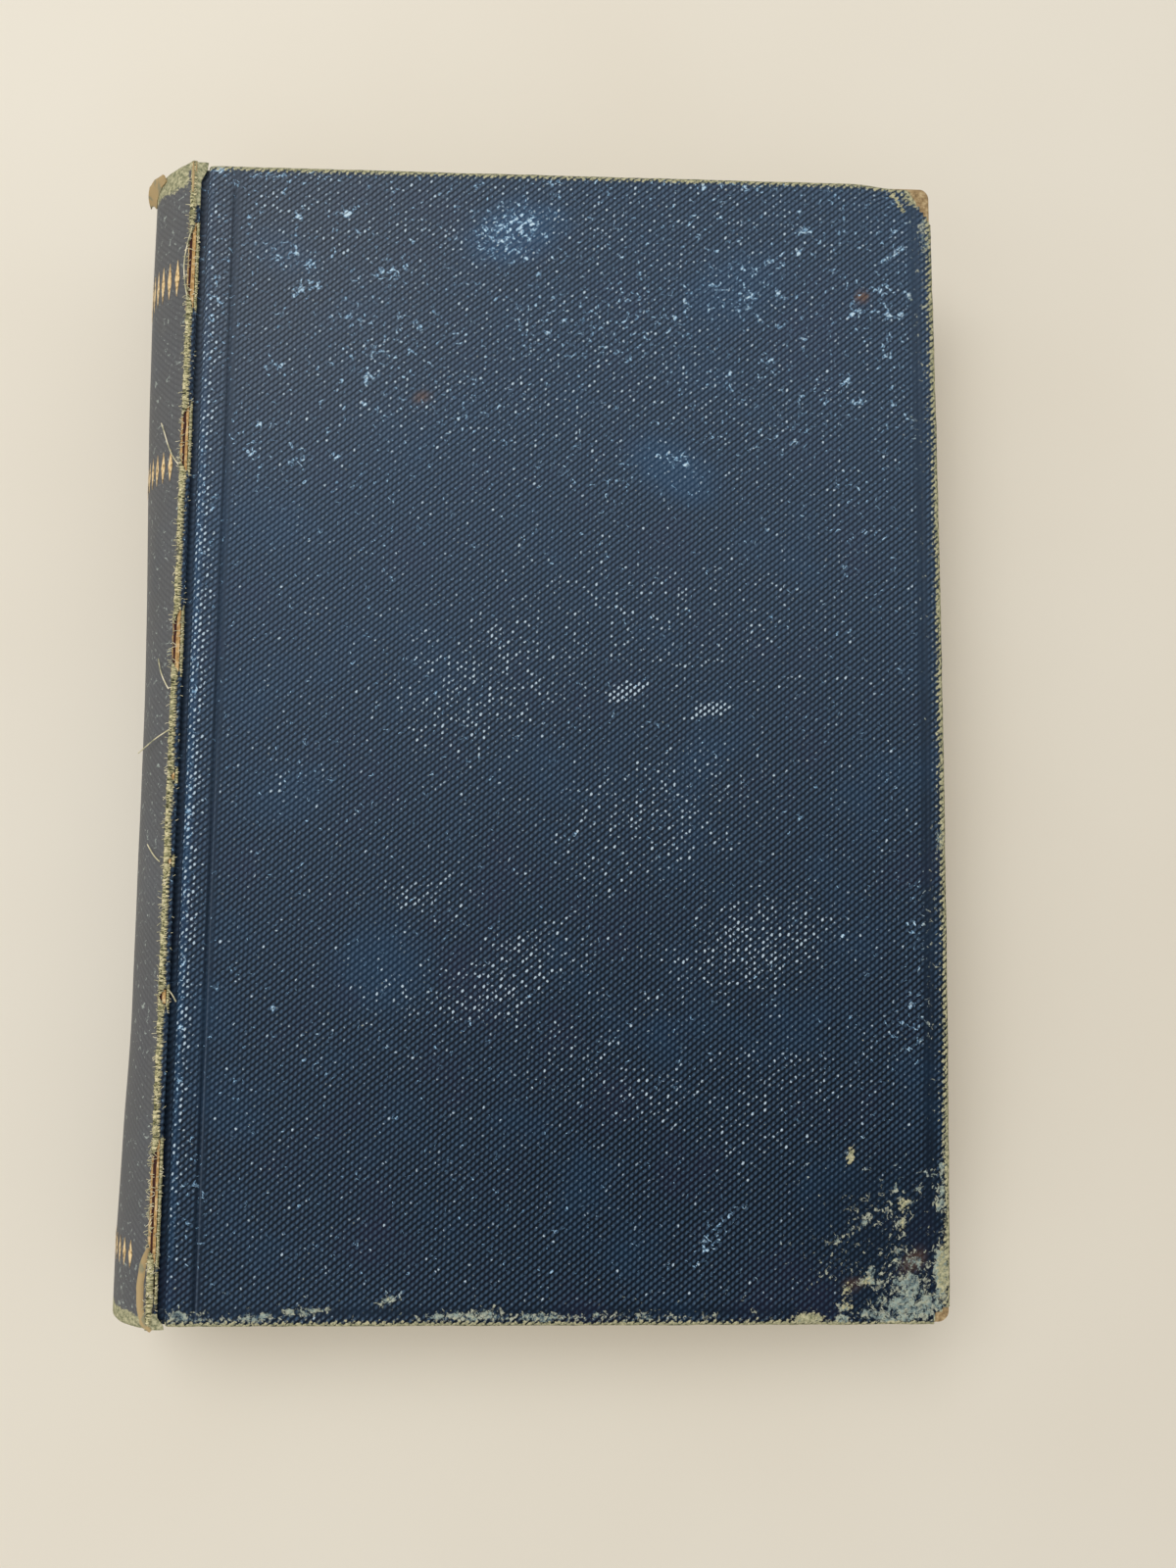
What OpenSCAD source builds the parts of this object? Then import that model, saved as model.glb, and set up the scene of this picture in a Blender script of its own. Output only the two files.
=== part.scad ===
// Case-bound book with a rounded, hollow spine, lying on its back cover.
// Spine at -X, fore-edge at +X, head at +Y; the origin is under the middle of the book.
// Lengths are in millimetres.

/* [Book] */
// Height of the covers from head to tail
cover_h = 220; // [180:1:280]
// Width of a cover from its hinge line to the fore-edge
cover_w = 145; // [110:1:190]
// Thickness of the closed book over both covers
book_t = 36; // [30:0.5:60]
// Distance that the rounded spine stands out behind the hinge line
spine_out = 11; // [9.5:0.25:13]

/* [Covers] */
// Thickness of the grey board in each cover
board_t = 2.6; // [2.3:0.1:3.5]
// Thickness of the book cloth
cloth_t = 0.4; // [0.3:0.05:0.5]
// Width of the cloth turned in over the inner edges of the boards
turn_in = 15; // [10:0.5:20]
// Width of the joint between the hinge line and the edge of the board
joint_w = 2.6; // [2.2:0.1:3]
// Radius of the worn corners at the fore-edge
corner_r = 3; // [2:0.25:6]
// Radius worn onto the edges of the covers
edge_r = 0.9; // [0.7:0.05:1.1]
// Width of the slit where the turned-in cloth meets at a corner
mitre_w = 0.3; // [0.2:0.05:0.5]

/* [Blind fillets] */
// Width of a pressed line
fillet_w = 1.1; // [0.8:0.05:1.6]
// Depth of a pressed line
fillet_d = 0.15; // [0.1:0.01:0.2]
// Distance of the inner line from the joint side of the board
fillet_spine = 5; // [3:0.25:12]
// Distance of the outer line from the fore-edge
fillet_fore = 3.6; // [2.5:0.1:8]
// Distance of the upper line from the head
fillet_head = 4; // [2.5:0.1:8]
// Distance of the lower line from the tail
fillet_tail = 2.6; // [2.5:0.1:8]

/* [Spine] */
// Outer radius of the ridges that the cloth makes over the shoulders
ridge_r = 0.9; // [0.8:0.05:1.1]
// Depth of the ridges below the faces of the covers
ridge_drop = 0.4; // [0.3:0.05:0.7]
// Length of the spine beyond the covers at the head
head_proud = 1.4; // [0:0.1:3]
// Length of the spine beyond the covers at the tail
tail_proud = 0.4; // [0:0.1:2]
// Thickness of the card that stiffens the spine cloth
inlay_t = 0.6; // [0.4:0.05:0.8]
// Distance of the card's edges from the ridges, measured round the spine
inlay_margin = 1.3; // [1.1:0.1:2.5]
// Thickness of the paper lining on the backs of the pages
lining_t = 0.2; // [0.15:0.05:0.3]
// Thickness of the gauze that holds the pages to the covers
gauze_t = 0.15; // [0.1:0.05:0.2]
// Width of the gauze glued to the inside of each board
flange_w = 28; // [15:1:40]
// Distance of the gauze from the turned-in cloth at head and tail
gauze_margin = 1; // [0.5:0.25:10]

/* [Pages] */
// Distance that the covers stand out beyond the pages on three sides
square_w = 3.5; // [2:0.25:5]
// Depth of the hollow in the fore-edge of the pages
fore_hollow = 5; // [2:0.5:7]
// Width of the root of each shoulder, measured round the spine
shoulder_w = 2.2; // [2:0.1:3]
// Thickness of an endpaper sheet
paper_t = 0.2; // [0.15:0.05:0.3]
// Distance of the pasted-down endpaper from the edges of the cover
paper_margin = 3; // [1.5:0.25:6]

/* [Clearances] */
// Film of paste between glued layers
paste = 0.05; // [0.04:0.01:0.08]
// Air in the hollow of the spine
hollow_gap = 0.1; // [0.1:0.05:0.4]
// Gap of the worn-through joint, between the ridge and the cover
hinge_gap = 0.3; // [0.25:0.05:0.5]
// Play between a closed cover and the loose endpaper
leaf_gap = 0.15; // [0.1:0.05:0.4]

/* [Hidden] */
$fn = 64;

cloth_c = "#22344c";
board_c = "#a07a4e";
card_c = "#9c6a3e";
lining_c = "#7a4a2c";
gauze_c = "#c9b58c";
paper_c = "#d9ccae";
page_c = "#d8c8a2";

// Worn-through places along the front joint: distance from the head, length, width
tears = [
    [11, 17, 1.3],
    [45.5, 13, 1.4],
    [84, 15, 1.6],
    [115.5, 2, 1.0],
    [157, 3, 1.2],
    [185.5, 60, 2.2]
];
// Number of steps along each side of a worn-through place
tear_steps = 8;
// Depth of the worn-through places below the front of the book
tear_depth = 2.4;
// Length by which a cutting solid runs past the face that it cuts
past = 1;

// Places across the book and along it
back_x = -(spine_out + cover_w) / 2;
hinge_x = back_x + spine_out;
fore_x = hinge_x + cover_w;
mid_z = book_t / 2;
spine_tail_y = -(cover_h + head_proud + tail_proud) / 2;
spine_head_y = -spine_tail_y;
tail_y = spine_tail_y + tail_proud;
head_y = tail_y + cover_h;

// Levels in the front cover, from its face inwards
pocket_z1 = book_t - cloth_t;
board_z1 = pocket_z1 - paste;
board_z0 = board_z1 - board_t;
pocket_z0 = board_z0 - paste;
cover_z0 = pocket_z0 - cloth_t;
gauze_z1 = pocket_z0 - paste;
gauze_z0 = gauze_z1 - gauze_t;
paper_z1 = cover_z0 - paste;
paper_z0 = paper_z1 - paper_t;
leaf_z1 = paper_z0 - leaf_gap;
leaf_z0 = leaf_z1 - paper_t;
block_z1 = leaf_z0 - paste;
// The pasted-down sheet sinks from the turned-in cloth to the level of the gauze
paper_sink = cloth_t - gauze_t - paste;

// Joint groove: the cloth dips in a half round between the hinge line and the board
joint_r = (joint_w - cloth_t) / 2;
joint_x = hinge_x + cloth_t + joint_r;
joint_z = pocket_z0 + cloth_t + joint_r;
edge_x = hinge_x + joint_w;
lip_z = book_t - ridge_drop - cloth_t / 2;

// Window between the turned-in edges of the cloth
window_x = fore_x - turn_in;
window_y0 = tail_y + turn_in;
window_y1 = head_y - turn_in;
gauze_y0 = window_y0 + gauze_margin;
gauze_y1 = window_y1 - gauze_margin;

// The spine is an arc that meets a ridge over each shoulder
ridge_x = hinge_x - hinge_gap - ridge_r;
ridge_half = mid_z - ridge_drop - ridge_r;
ridge_in = ridge_x - back_x;
// Height by which the ridges stand out of the arc
ridge_stand = ridge_r / 5;
ridge_sunk = ridge_r - ridge_stand;
spine_r = (pow(ridge_in, 2) + pow(ridge_half, 2) - pow(ridge_sunk, 2)) / (2 * (ridge_in - ridge_sunk));
spine_x = back_x + spine_r;
ridge_a = atan2(ridge_half, spine_x - ridge_x);
shoulder_a = ridge_a - round_angle(shoulder_w);
inlay_a = ridge_a - round_angle(inlay_margin);
// The arc ends inside the wall of each ridge
layer_a = ridge_a - round_angle(ridge_r / 2);

// Layers of the spine, from the cloth inwards; the folded edge is round
fold_r = cloth_t + paste + inlay_t / 2;
card_r1 = spine_r - cloth_t - paste;
card_r0 = card_r1 - inlay_t;
card_y0 = spine_tail_y + fold_r + 2 * paste;
card_y1 = spine_head_y - fold_r - 2 * paste;
turned_r0 = spine_r - 2 * fold_r;
lining_r1 = turned_r0 - hollow_gap;
lining_r0 = lining_r1 - lining_t;
gauze_r1 = lining_r0 - paste;
gauze_r0 = gauze_r1 - gauze_t;
block_r = gauze_r0 - paste;

// Pages
block_half = block_z1 - mid_z;
block_x = fore_x - square_w;
block_y0 = tail_y + square_w;
block_y1 = head_y - square_w;
tip_r = ridge_r - cloth_t - hollow_gap;
root_x = hinge_x - hinge_gap;
// The fore-edge hollow leaves the outermost leaves flat
lip_t = 0.3;
hollow_r = (pow(block_half - lip_t, 2) + pow(fore_hollow, 2)) / (2 * fore_hollow);

// Radius of the tool that presses a line of the given width and depth
fillet_r = (pow(fillet_w / 2, 2) + pow(fillet_d, 2)) / (2 * fillet_d);

function round_angle(length) = length / spine_r * 180 / PI;
function spine_point(r, a) = [spine_x - r * cos(a), mid_z + r * sin(a)];

// An outline in X and Z, drawn out along the book
module along_y(y0, y1) {
    translate([0, y1, 0]) rotate([90, 0, 0]) linear_extrude(y1 - y0) children();
}

// An outline in Y and Z, drawn out across the book
module along_x(x0, x1) {
    translate([x0, 0, 0]) rotate([90, 0, 90]) linear_extrude(x1 - x0) children();
}

// An outline in radius and Y, swept round the spine to the same angle above and below
module around_spine(half_angle) {
    translate([spine_x, 0, mid_z])
        rotate([-90, 0, 0])
            rotate([0, 0, 180 - half_angle])
                rotate_extrude(angle = 2 * half_angle)
                    children();
}

module box(x0, x1, y0, y1, z0, z1) {
    translate([x0, y0, z0]) cube([x1 - x0, y1 - y0, z1 - z0]);
}

module rect(x0, y0, x1, y1) {
    translate([x0, y0]) square([x1 - x0, y1 - y0]);
}

module round_rect(x0, y0, x1, y1, r) {
    rect(x0 + r, y0, x1 - r, y1);
    rect(x0, y0 + r, x1, y1 - r);
    for (x = [x0 + r, x1 - r], y = [y0 + r, y1 - r])
        translate([x, y]) circle(r);
}

// Outline of a cover from above: square at the spine, round at the two fore-edge corners
module cover_plan(x0, x1, y0, y1, r) {
    rect(x0, y0, x1 - r, y1);
    rect(x0, y0 + r, x1, y1 - r);
    for (y = [y0 + r, y1 - r])
        translate([x1 - r, y]) circle(r);
}

// Board with eased edges; grow widens it into the pocket that holds it
module board_shape(grow) {
    inset = cloth_t + paste - grow;
    x0 = edge_x + inset;
    x1 = fore_x - inset;
    y0 = tail_y + inset;
    y1 = head_y - inset;
    z0 = board_z0 - grow;
    z1 = board_z1 + grow;
    intersection() {
        translate([0, 0, z0]) linear_extrude(z1 - z0) cover_plan(x0, x1, y0, y1, corner_r - inset);
        along_y(y0, y1) round_rect(x0, z0, x1, z1, edge_r - inset);
        along_x(x0, x1) round_rect(y0, z0, y1, z1, edge_r - inset);
    }
}

// Section of a cloth-covered cover across the book, filled solid
module cover_section() {
    round_rect(edge_x, cover_z0, fore_x, book_t, edge_r);
    difference() {
        rect(hinge_x, cover_z0, edge_x + edge_r, joint_z);
        translate([joint_x, joint_z]) circle(joint_r);
    }
    rect(hinge_x, joint_z - cloth_t / 2, hinge_x + cloth_t, lip_z);
}

// The whole cover as one body, its fore-edge corners and long edges worn round
module cover_blank() {
    intersection() {
        along_y(tail_y, head_y) cover_section();
        translate([0, 0, cover_z0])
            linear_extrude(book_t - cover_z0)
                cover_plan(hinge_x, fore_x, tail_y, head_y, corner_r);
        along_x(hinge_x, fore_x) round_rect(tail_y, cover_z0, head_y, book_t, edge_r);
    }
}

// What is cut from under the joint, so that a single layer of cloth is left
module joint_hollow() {
    along_y(window_y0, window_y1)
        difference() {
            union() {
                rect(hinge_x - past, cover_z0 - past, edge_x + cloth_t, joint_z);
                rect(hinge_x - past, cover_z0 - past, edge_x + cloth_t + past, pocket_z0);
            }
            translate([joint_x, joint_z]) circle(joint_r + cloth_t);
        }
}

// Opening between the turned-in edges, through to the board
module window() {
    box(edge_x + cloth_t, window_x, window_y0, window_y1, cover_z0 - past, board_z0 + edge_r);
}

// Slits at the corners, where the turned-in edges meet at 45 degrees
module mitres() {
    for (side = [-1, 1])
        translate([window_x, side > 0 ? window_y1 : window_y0, cover_z0 - past])
            rotate([0, 0, side * 45])
                translate([-mitre_w, -mitre_w / 2, 0])
                    cube([turn_in * sqrt(2), mitre_w, past + cloth_t / 2]);
}

module press_y(x) {
    along_y(tail_y + fillet_tail, head_y - fillet_head)
        translate([x, book_t - fillet_d + fillet_r]) circle(fillet_r);
}

module press_x(y) {
    along_x(edge_x + fillet_spine, fore_x - fillet_fore)
        translate([y, book_t - fillet_d + fillet_r]) circle(fillet_r);
}

// Frame of pressed lines on the front
module fillets() {
    press_y(edge_x + fillet_spine);
    press_y(fore_x - fillet_fore);
    press_x(tail_y + fillet_tail);
    press_x(head_y - fillet_head);
}

// Cloth of one cover: over the board, round its edges and down into the joint
module cover_cloth() {
    difference() {
        cover_blank();
        board_shape(paste);
        joint_hollow();
        window();
        mitres();
    }
}

// Gauze glued across the joint and onto the inside of the board
module cover_gauze() {
    box(hinge_x + hinge_gap, edge_x + flange_w, gauze_y0, gauze_y1, gauze_z0, gauze_z1);
}

// Half of the endpaper, pasted over the turned-in cloth, the gauze and the bare board
module cover_paper() {
    x0 = hinge_x + hinge_gap;
    difference() {
        union() {
            box(x0, fore_x - paper_margin, tail_y + paper_margin, head_y - paper_margin, paper_z0, paper_z1);
            box(x0, window_x - paste, window_y0 + paste, window_y1 - paste, paper_z0, gauze_z0 - paste);
            box(edge_x + cloth_t, window_x - paste, window_y0 + paste, window_y1 - paste, paper_z0, pocket_z0);
        }
        box(x0 - past, edge_x + flange_w + paste, gauze_y0 - paste, gauze_y1 + paste,
            gauze_z0 - paste, pocket_z0 + past);
        box(x0 - past, window_x - past, window_y0 + past, window_y1 - past,
            paper_z0 - past, paper_z0 + paper_sink);
    }
}

// Loose half of the endpaper, lying on the pages
module leaf() {
    box(hinge_x, block_x, block_y0, block_y1, leaf_z0, leaf_z1);
}

// The back cover is the front one turned over
module turned_over() {
    translate([0, 0, book_t]) mirror([0, 0, 1]) children();
}

// A shoulder: the outermost sections, hammered over to stand up beside the joint
module shoulder() {
    root = spine_point(block_r - cloth_t, shoulder_a);
    tip = [ridge_x, mid_z + ridge_half];
    neck_r = 0.85 * tip_r;
    along_y(block_y0, block_y1)
        polygon([
            root,
            tip + neck_r * [-cos(ridge_a), sin(ridge_a)],
            tip + [neck_r, 0],
            [root_x, block_z1],
            [root_x, mid_z],
            [root[0], mid_z]
        ]);
    along_y(block_y0, block_y1)
        translate(tip) circle(tip_r);
}

// Pages behind the joints, round at the back
module rounded_back() {
    arc_half = block_r * sin(shoulder_a);
    along_y(block_y0, block_y1)
        intersection() {
            translate([spine_x, mid_z]) circle(block_r);
            rect(back_x, mid_z - arc_half, root_x, mid_z + arc_half);
        }
}

// Hollow that the rounding of the back leaves in the fore-edge
module fore_edge() {
    along_y(block_y0 - past, block_y1 + past)
        translate([block_x - fore_hollow + hollow_r, mid_z]) circle(hollow_r);
}

// Long section of the spine cloth with its edges folded over the card, filled solid
module folded_outline() {
    rect(turned_r0, spine_tail_y + fold_r, spine_r, spine_head_y - fold_r);
    for (y = [spine_tail_y + fold_r, spine_head_y - fold_r])
        translate([spine_r - fold_r, y]) circle(fold_r);
}

// Outer layer of the spine cloth with its edges folded back, open inside where the card lies
module folded_layer() {
    difference() {
        folded_outline();
        rect(card_r0 - paste, card_y0 - paste, spine_r - cloth_t, card_y1 + paste);
        rect(turned_r0 - past, spine_tail_y + 2 * fold_r, spine_r - cloth_t, spine_head_y - 2 * fold_r);
    }
}

// The rest of the turned-in cloth, behind the card at head and tail
module turned_layer() {
    rect(turned_r0, spine_tail_y + 2 * fold_r, turned_r0 + cloth_t, spine_tail_y + turn_in);
    rect(turned_r0, spine_head_y - turn_in, turned_r0 + cloth_t, spine_head_y - 2 * fold_r);
}

// Ridge of cloth over the front shoulder, rolling over towards the joint
module ridge() {
    // The roll of cloth starts well inside the arc and ends below the joint side
    start_a = 240 - ridge_a;
    end_a = -20;
    steps = 12;
    fan = [for (i = [0 : steps])
        let (a = start_a + (end_a - start_a) * i / steps) 2 * ridge_r * [cos(a), sin(a)]];
    along_y(spine_tail_y + cloth_t, spine_head_y - cloth_t)
        translate([ridge_x, mid_z + ridge_half])
            intersection() {
                difference() {
                    circle(ridge_r);
                    circle(ridge_r - cloth_t);
                }
                polygon(concat([[0, 0]], fan));
            }
}

// A pointed slit along the ridge, eaten in from the side of the joint
module tear(from_head, length, width) {
    y1 = head_y - from_head;
    left = [for (i = [1 : tear_steps - 1])
        [root_x - width * sin(180 * i / tear_steps), y1 - length * i / tear_steps]];
    translate([0, 0, book_t - tear_depth])
        linear_extrude(tear_depth + past)
            polygon(concat([[root_x, y1]], left,
                [[root_x, y1 - length], [root_x + past, y1 - length], [root_x + past, y1]]));
}

module text_block() {
    color(page_c)
        difference() {
            union() {
                box(root_x - past, block_x, block_y0, block_y1, mid_z - block_half, mid_z + block_half);
                rounded_back();
                shoulder();
                turned_over() shoulder();
            }
            fore_edge();
        }
}

module front_flyleaf() {
    color(paper_c) leaf();
}

module back_flyleaf() {
    color(paper_c) turned_over() leaf();
}

module spine_gauze() {
    color(gauze_c) around_spine(shoulder_a) rect(gauze_r0, gauze_y0, gauze_r1, gauze_y1);
}

module spine_lining() {
    color(lining_c) around_spine(shoulder_a) rect(lining_r0, block_y0, lining_r1, block_y1);
}

module spine_card() {
    color(card_c)
        around_spine(inlay_a)
            rect(card_r0, card_y0, card_r1, card_y1);
}

module spine_cloth() {
    color(cloth_c)
        difference() {
            union() {
                around_spine(layer_a) folded_layer();
                around_spine(shoulder_a) turned_layer();
                ridge();
                turned_over() ridge();
            }
            for (t = tears) tear(t[0], t[1], t[2]);
        }
}

module front_board() {
    color(board_c) board_shape(0);
}

module front_cloth() {
    color(cloth_c)
        difference() {
            cover_cloth();
            fillets();
        }
}

module front_gauze() {
    color(gauze_c) cover_gauze();
}

module front_pastedown() {
    color(paper_c) cover_paper();
}

module back_board() {
    color(board_c) turned_over() board_shape(0);
}

module back_cloth() {
    color(cloth_c) turned_over() cover_cloth();
}

module back_gauze() {
    color(gauze_c) turned_over() cover_gauze();
}

module back_pastedown() {
    color(paper_c) turned_over() cover_paper();
}

text_block();
front_flyleaf();
back_flyleaf();
spine_gauze();
spine_lining();
spine_card();
spine_cloth();
front_board();
front_cloth();
front_gauze();
front_pastedown();
back_board();
back_cloth();
back_gauze();
back_pastedown();
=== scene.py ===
import math
import random
from functools import partial

import bpy
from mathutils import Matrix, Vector, noise


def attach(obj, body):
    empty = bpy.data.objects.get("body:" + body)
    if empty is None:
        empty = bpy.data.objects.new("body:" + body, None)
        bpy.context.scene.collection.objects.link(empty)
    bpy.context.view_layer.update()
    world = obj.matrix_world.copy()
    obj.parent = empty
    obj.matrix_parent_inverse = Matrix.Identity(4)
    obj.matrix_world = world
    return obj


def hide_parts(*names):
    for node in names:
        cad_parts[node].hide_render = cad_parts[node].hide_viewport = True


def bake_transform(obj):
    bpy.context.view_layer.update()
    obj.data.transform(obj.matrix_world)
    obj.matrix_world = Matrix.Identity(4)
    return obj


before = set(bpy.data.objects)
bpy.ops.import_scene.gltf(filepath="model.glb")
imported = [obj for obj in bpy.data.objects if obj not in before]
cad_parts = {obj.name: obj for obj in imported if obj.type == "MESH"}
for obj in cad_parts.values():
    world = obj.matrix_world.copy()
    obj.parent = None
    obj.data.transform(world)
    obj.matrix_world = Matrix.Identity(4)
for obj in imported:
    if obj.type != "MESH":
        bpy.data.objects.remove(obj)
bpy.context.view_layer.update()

# A worn cloth-bound book, dressed over its CAD frame.
mm = 0.001

# The book as the frame has it, in millimetres
book = {
    "thick": 36.0,
    "foreX": 78.0,
    "tailY": -110.5,
    "headY": 109.5,
    "spineTailY": -110.9,
    "spineHeadY": 110.9,
    "spineX": -57.38,
    "spineR": 20.62,
    "ridgeX": -68.2,
    "ridgeZ": 34.7,
    "ridgeR": 0.9,
}
midZ = book["thick"] / 2


# Small helpers

def hexColour(code):
    # an sRGB hex value as a linear colour
    parts = [int(code[i:i + 2], 16) / 255 for i in (1, 3, 5)]
    linear = [c / 12.92 if c <= 0.04045 else ((c + 0.055) / 1.055) ** 2.4 for c in parts]
    return (*linear, 1.0)


def addNode(tree, kind, inputs=(), **settings):
    # settings are the node's properties; inputs are values or other nodes, by name or in the node's order
    made = tree.nodes.new("ShaderNode" + kind)
    for key, value in settings.items():
        setattr(made, key, value)
    for key, value in inputs.items() if isinstance(inputs, dict) else enumerate(inputs):
        if hasattr(value, "outputs"):
            value = value.outputs[0]
        if isinstance(value, bpy.types.NodeSocket):
            tree.links.new(value, made.inputs[key])
        else:
            made.inputs[key].default_value = value
    return made


def newMaterial(name):
    # an empty material, and the function that adds a node to it
    made = bpy.data.materials.new(name)
    made.use_nodes = True
    made.node_tree.nodes.clear()
    return made, partial(addNode, made.node_tree)


def finishMaterial(node, colour, height, strength, distance, finish):
    # the last nodes of each material: relief, surface and output
    bump = node("Bump", {"Height": height, "Strength": strength, "Distance": distance})
    surface = node("BsdfPrincipled", {"Base Color": colour, "Normal": bump, **finish})
    node("OutputMaterial", {"Surface": surface})


def setRamp(ramp, stops):
    # the stops of a colour ramp, as place and hex colour
    points = ramp.color_ramp.elements
    while len(points) < len(stops):
        points.new(0.5)
    for point, (place, colour) in zip(points, stops):
        point.position = place
        point.color = hexColour(colour)


def smoothStep(low, high, value):
    t = min(1.0, max(0.0, (value - low) / (high - low)))
    return t * t * (3 - 2 * t)


def spread(start, end, step):
    # evenly placed values from start up to, and without, end
    count = max(1, round((end - start) / step))
    return [start + (end - start) * i / count for i in range(count)]


def selectOnly(*things):
    bpy.ops.object.select_all(action="DESELECT")
    for thing in things:
        thing.select_set(True)
    bpy.context.view_layer.objects.active = things[0]


def joinParts(parts, name):
    selectOnly(*parts)
    bpy.ops.object.join()
    parts[0].name = name
    return parts[0]


def editAll(thing, mode="VERT"):
    selectOnly(thing)
    bpy.ops.object.mode_set(mode="EDIT")
    bpy.ops.mesh.select_mode(type=mode)
    bpy.ops.mesh.select_all(action="SELECT")


def objectMode():
    bpy.ops.object.mode_set(mode="OBJECT")


def wrapSheet(name, across, along, place, flip=False):
    # a flat grid with one line per entry of the two lists, laid over the form that place describes in mm
    bpy.ops.object.select_all(action="DESELECT")
    bpy.ops.mesh.primitive_grid_add(x_subdivisions=len(across) - 1, y_subdivisions=len(along) - 1, size=2)
    sheet = bpy.context.object
    sheet.name = name
    sheet.data.name = name
    notes = []
    for v in sheet.data.vertices:
        i = round((v.co.x + 1) / 2 * (len(across) - 1))
        j = round((v.co.y + 1) / 2 * (len(along) - 1))
        point, note = place(across[i], along[j])
        v.co = Vector(point) * mm
        notes.append(note)
    for uv in list(sheet.data.uv_layers):
        sheet.data.uv_layers.remove(uv)
    for key in notes[0]:
        values = [note[key] for note in notes]
        if key == "clothPlace":
            layer = sheet.data.attributes.new(key, "FLOAT_VECTOR", "POINT")
            layer.data.foreach_set("vector", [c for value in values for c in value])
        else:
            layer = sheet.data.attributes.new(key, "FLOAT", "POINT")
            layer.data.foreach_set("value", values)
    editAll(sheet)
    if flip:
        bpy.ops.mesh.flip_normals()
    bpy.ops.mesh.remove_doubles(threshold=0.00001)
    bpy.ops.mesh.dissolve_degenerate(threshold=0.000005)
    objectMode()
    return sheet


def thicken(sheet, thickness, offset=-1):
    solid = sheet.modifiers.new("clothThickness", "SOLIDIFY")
    solid.thickness = thickness * mm
    solid.offset = offset
    bpy.context.view_layer.objects.active = sheet
    bpy.ops.object.modifier_apply(modifier=solid.name)


def smooth(thing, degrees=40):
    selectOnly(thing)
    bpy.ops.object.shade_smooth_by_angle(angle=math.radians(degrees))


def finishPiece(thing, material, body, replaced=()):
    thing.data.materials.clear()
    thing.data.materials.append(material)
    if body:
        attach(thing, body)
    if replaced:
        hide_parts(*replaced)


def wander(x, y, z=0.0):
    # smooth noise from -1 to 1
    return noise.noise(Vector((x, y, z)))


# the fading level also carries the painted highlight on the front
wearKinds = ("rubbed", "scuff", "chalk", "fray", "fade", "bare", "pressed", "rust", "teal")


def clothNote(where, **levels):
    # what the cloth's material reads at one point: its place in the flat cloth in mm, and how worn it is
    note = {"clothPlace": where}
    for kind in wearKinds:
        note[kind] = levels.get(kind, 0.0)
    return note


# Camera, lights and floor

cameraFit = {
    "place": (2.5, -33.1, 266.4),
    "turn": (5.332, -1.964, 0.479),
    "lens": 28.125,
    "sensor": 36,
    "near": 0.005,
}
lampValues = {
    "worldColour": "#fffbf5",
    "worldStrength": 0.66,
    "lamps": {
        "windowLamp": {
            "place": (-0.32, 0.40, 1.05), "size": (0.70, 0.50), "power": 6.6, "colour": "#fbfcff",
        },
        "fillLamp": {
            "place": (-0.7, -0.5, 0.7), "size": (0.8, 0.8), "power": 1.2, "colour": "#ffffff",
        },
    },
}
floorValues = {
    "colour": "#dcd6c8",
    "shown": "#d9d2c3",
    "roughness": 0.85,
    "size": 6,
    "height": -0.0002,
}


def makeCamera():
    bpy.ops.object.camera_add()
    camera = bpy.context.object
    camera.name = "bookCamera"
    camera.data.sensor_width = cameraFit["sensor"]
    camera.data.lens = cameraFit["lens"]
    camera.data.clip_start = cameraFit["near"]
    camera.location = Vector(cameraFit["place"]) * mm
    camera.rotation_euler = [math.radians(a) for a in cameraFit["turn"]]
    bpy.context.scene.camera = camera


def makeLamps():
    world = bpy.data.worlds.new("softRoom")
    bpy.context.scene.world = world
    world.use_nodes = True
    world.node_tree.nodes.clear()
    node = partial(addNode, world.node_tree)
    sky = node("Background", [hexColour(lampValues["worldColour"]), lampValues["worldStrength"]])
    node("OutputWorld", {"Surface": sky})
    for name, lamp in lampValues["lamps"].items():
        bpy.ops.object.light_add(type="AREA", location=lamp["place"])
        light = bpy.context.object
        light.name = name
        light.data.shape = "RECTANGLE"
        light.data.size, light.data.size_y = lamp["size"]
        light.data.energy = lamp["power"]
        light.data.color = hexColour(lamp["colour"])[:3]
        light.rotation_euler = (-light.location).to_track_quat("-Z", "Y").to_euler()


def makeFloor():
    # matt painted table top: pale, warm and without gloss
    material, node = newMaterial("mattPaintedTable")
    where = node("TexCoord").outputs["Object"]
    grain = node("TexNoise", {"Vector": where, "Scale": 9.0, "Detail": 2.0})
    tint = node("ValToRGB", [grain])
    setRamp(tint, [(0.35, floorValues["colour"]), (0.7, floorValues["shown"])])
    paint = node("BsdfPrincipled", {"Base Color": tint, "Roughness": floorValues["roughness"]})
    node("OutputMaterial", {"Surface": paint})
    bpy.ops.object.select_all(action="DESELECT")
    bpy.ops.mesh.primitive_plane_add(size=floorValues["size"], location=(0, 0, floorValues["height"]))
    floor = bpy.context.object
    floor.name = "tableTop"
    floor.data.materials.append(material)


makeCamera()
makeLamps()
makeFloor()
bpy.context.scene.view_settings.view_transform = "Standard"
print("stage: camera, lamps and floor")


# Materials

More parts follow.
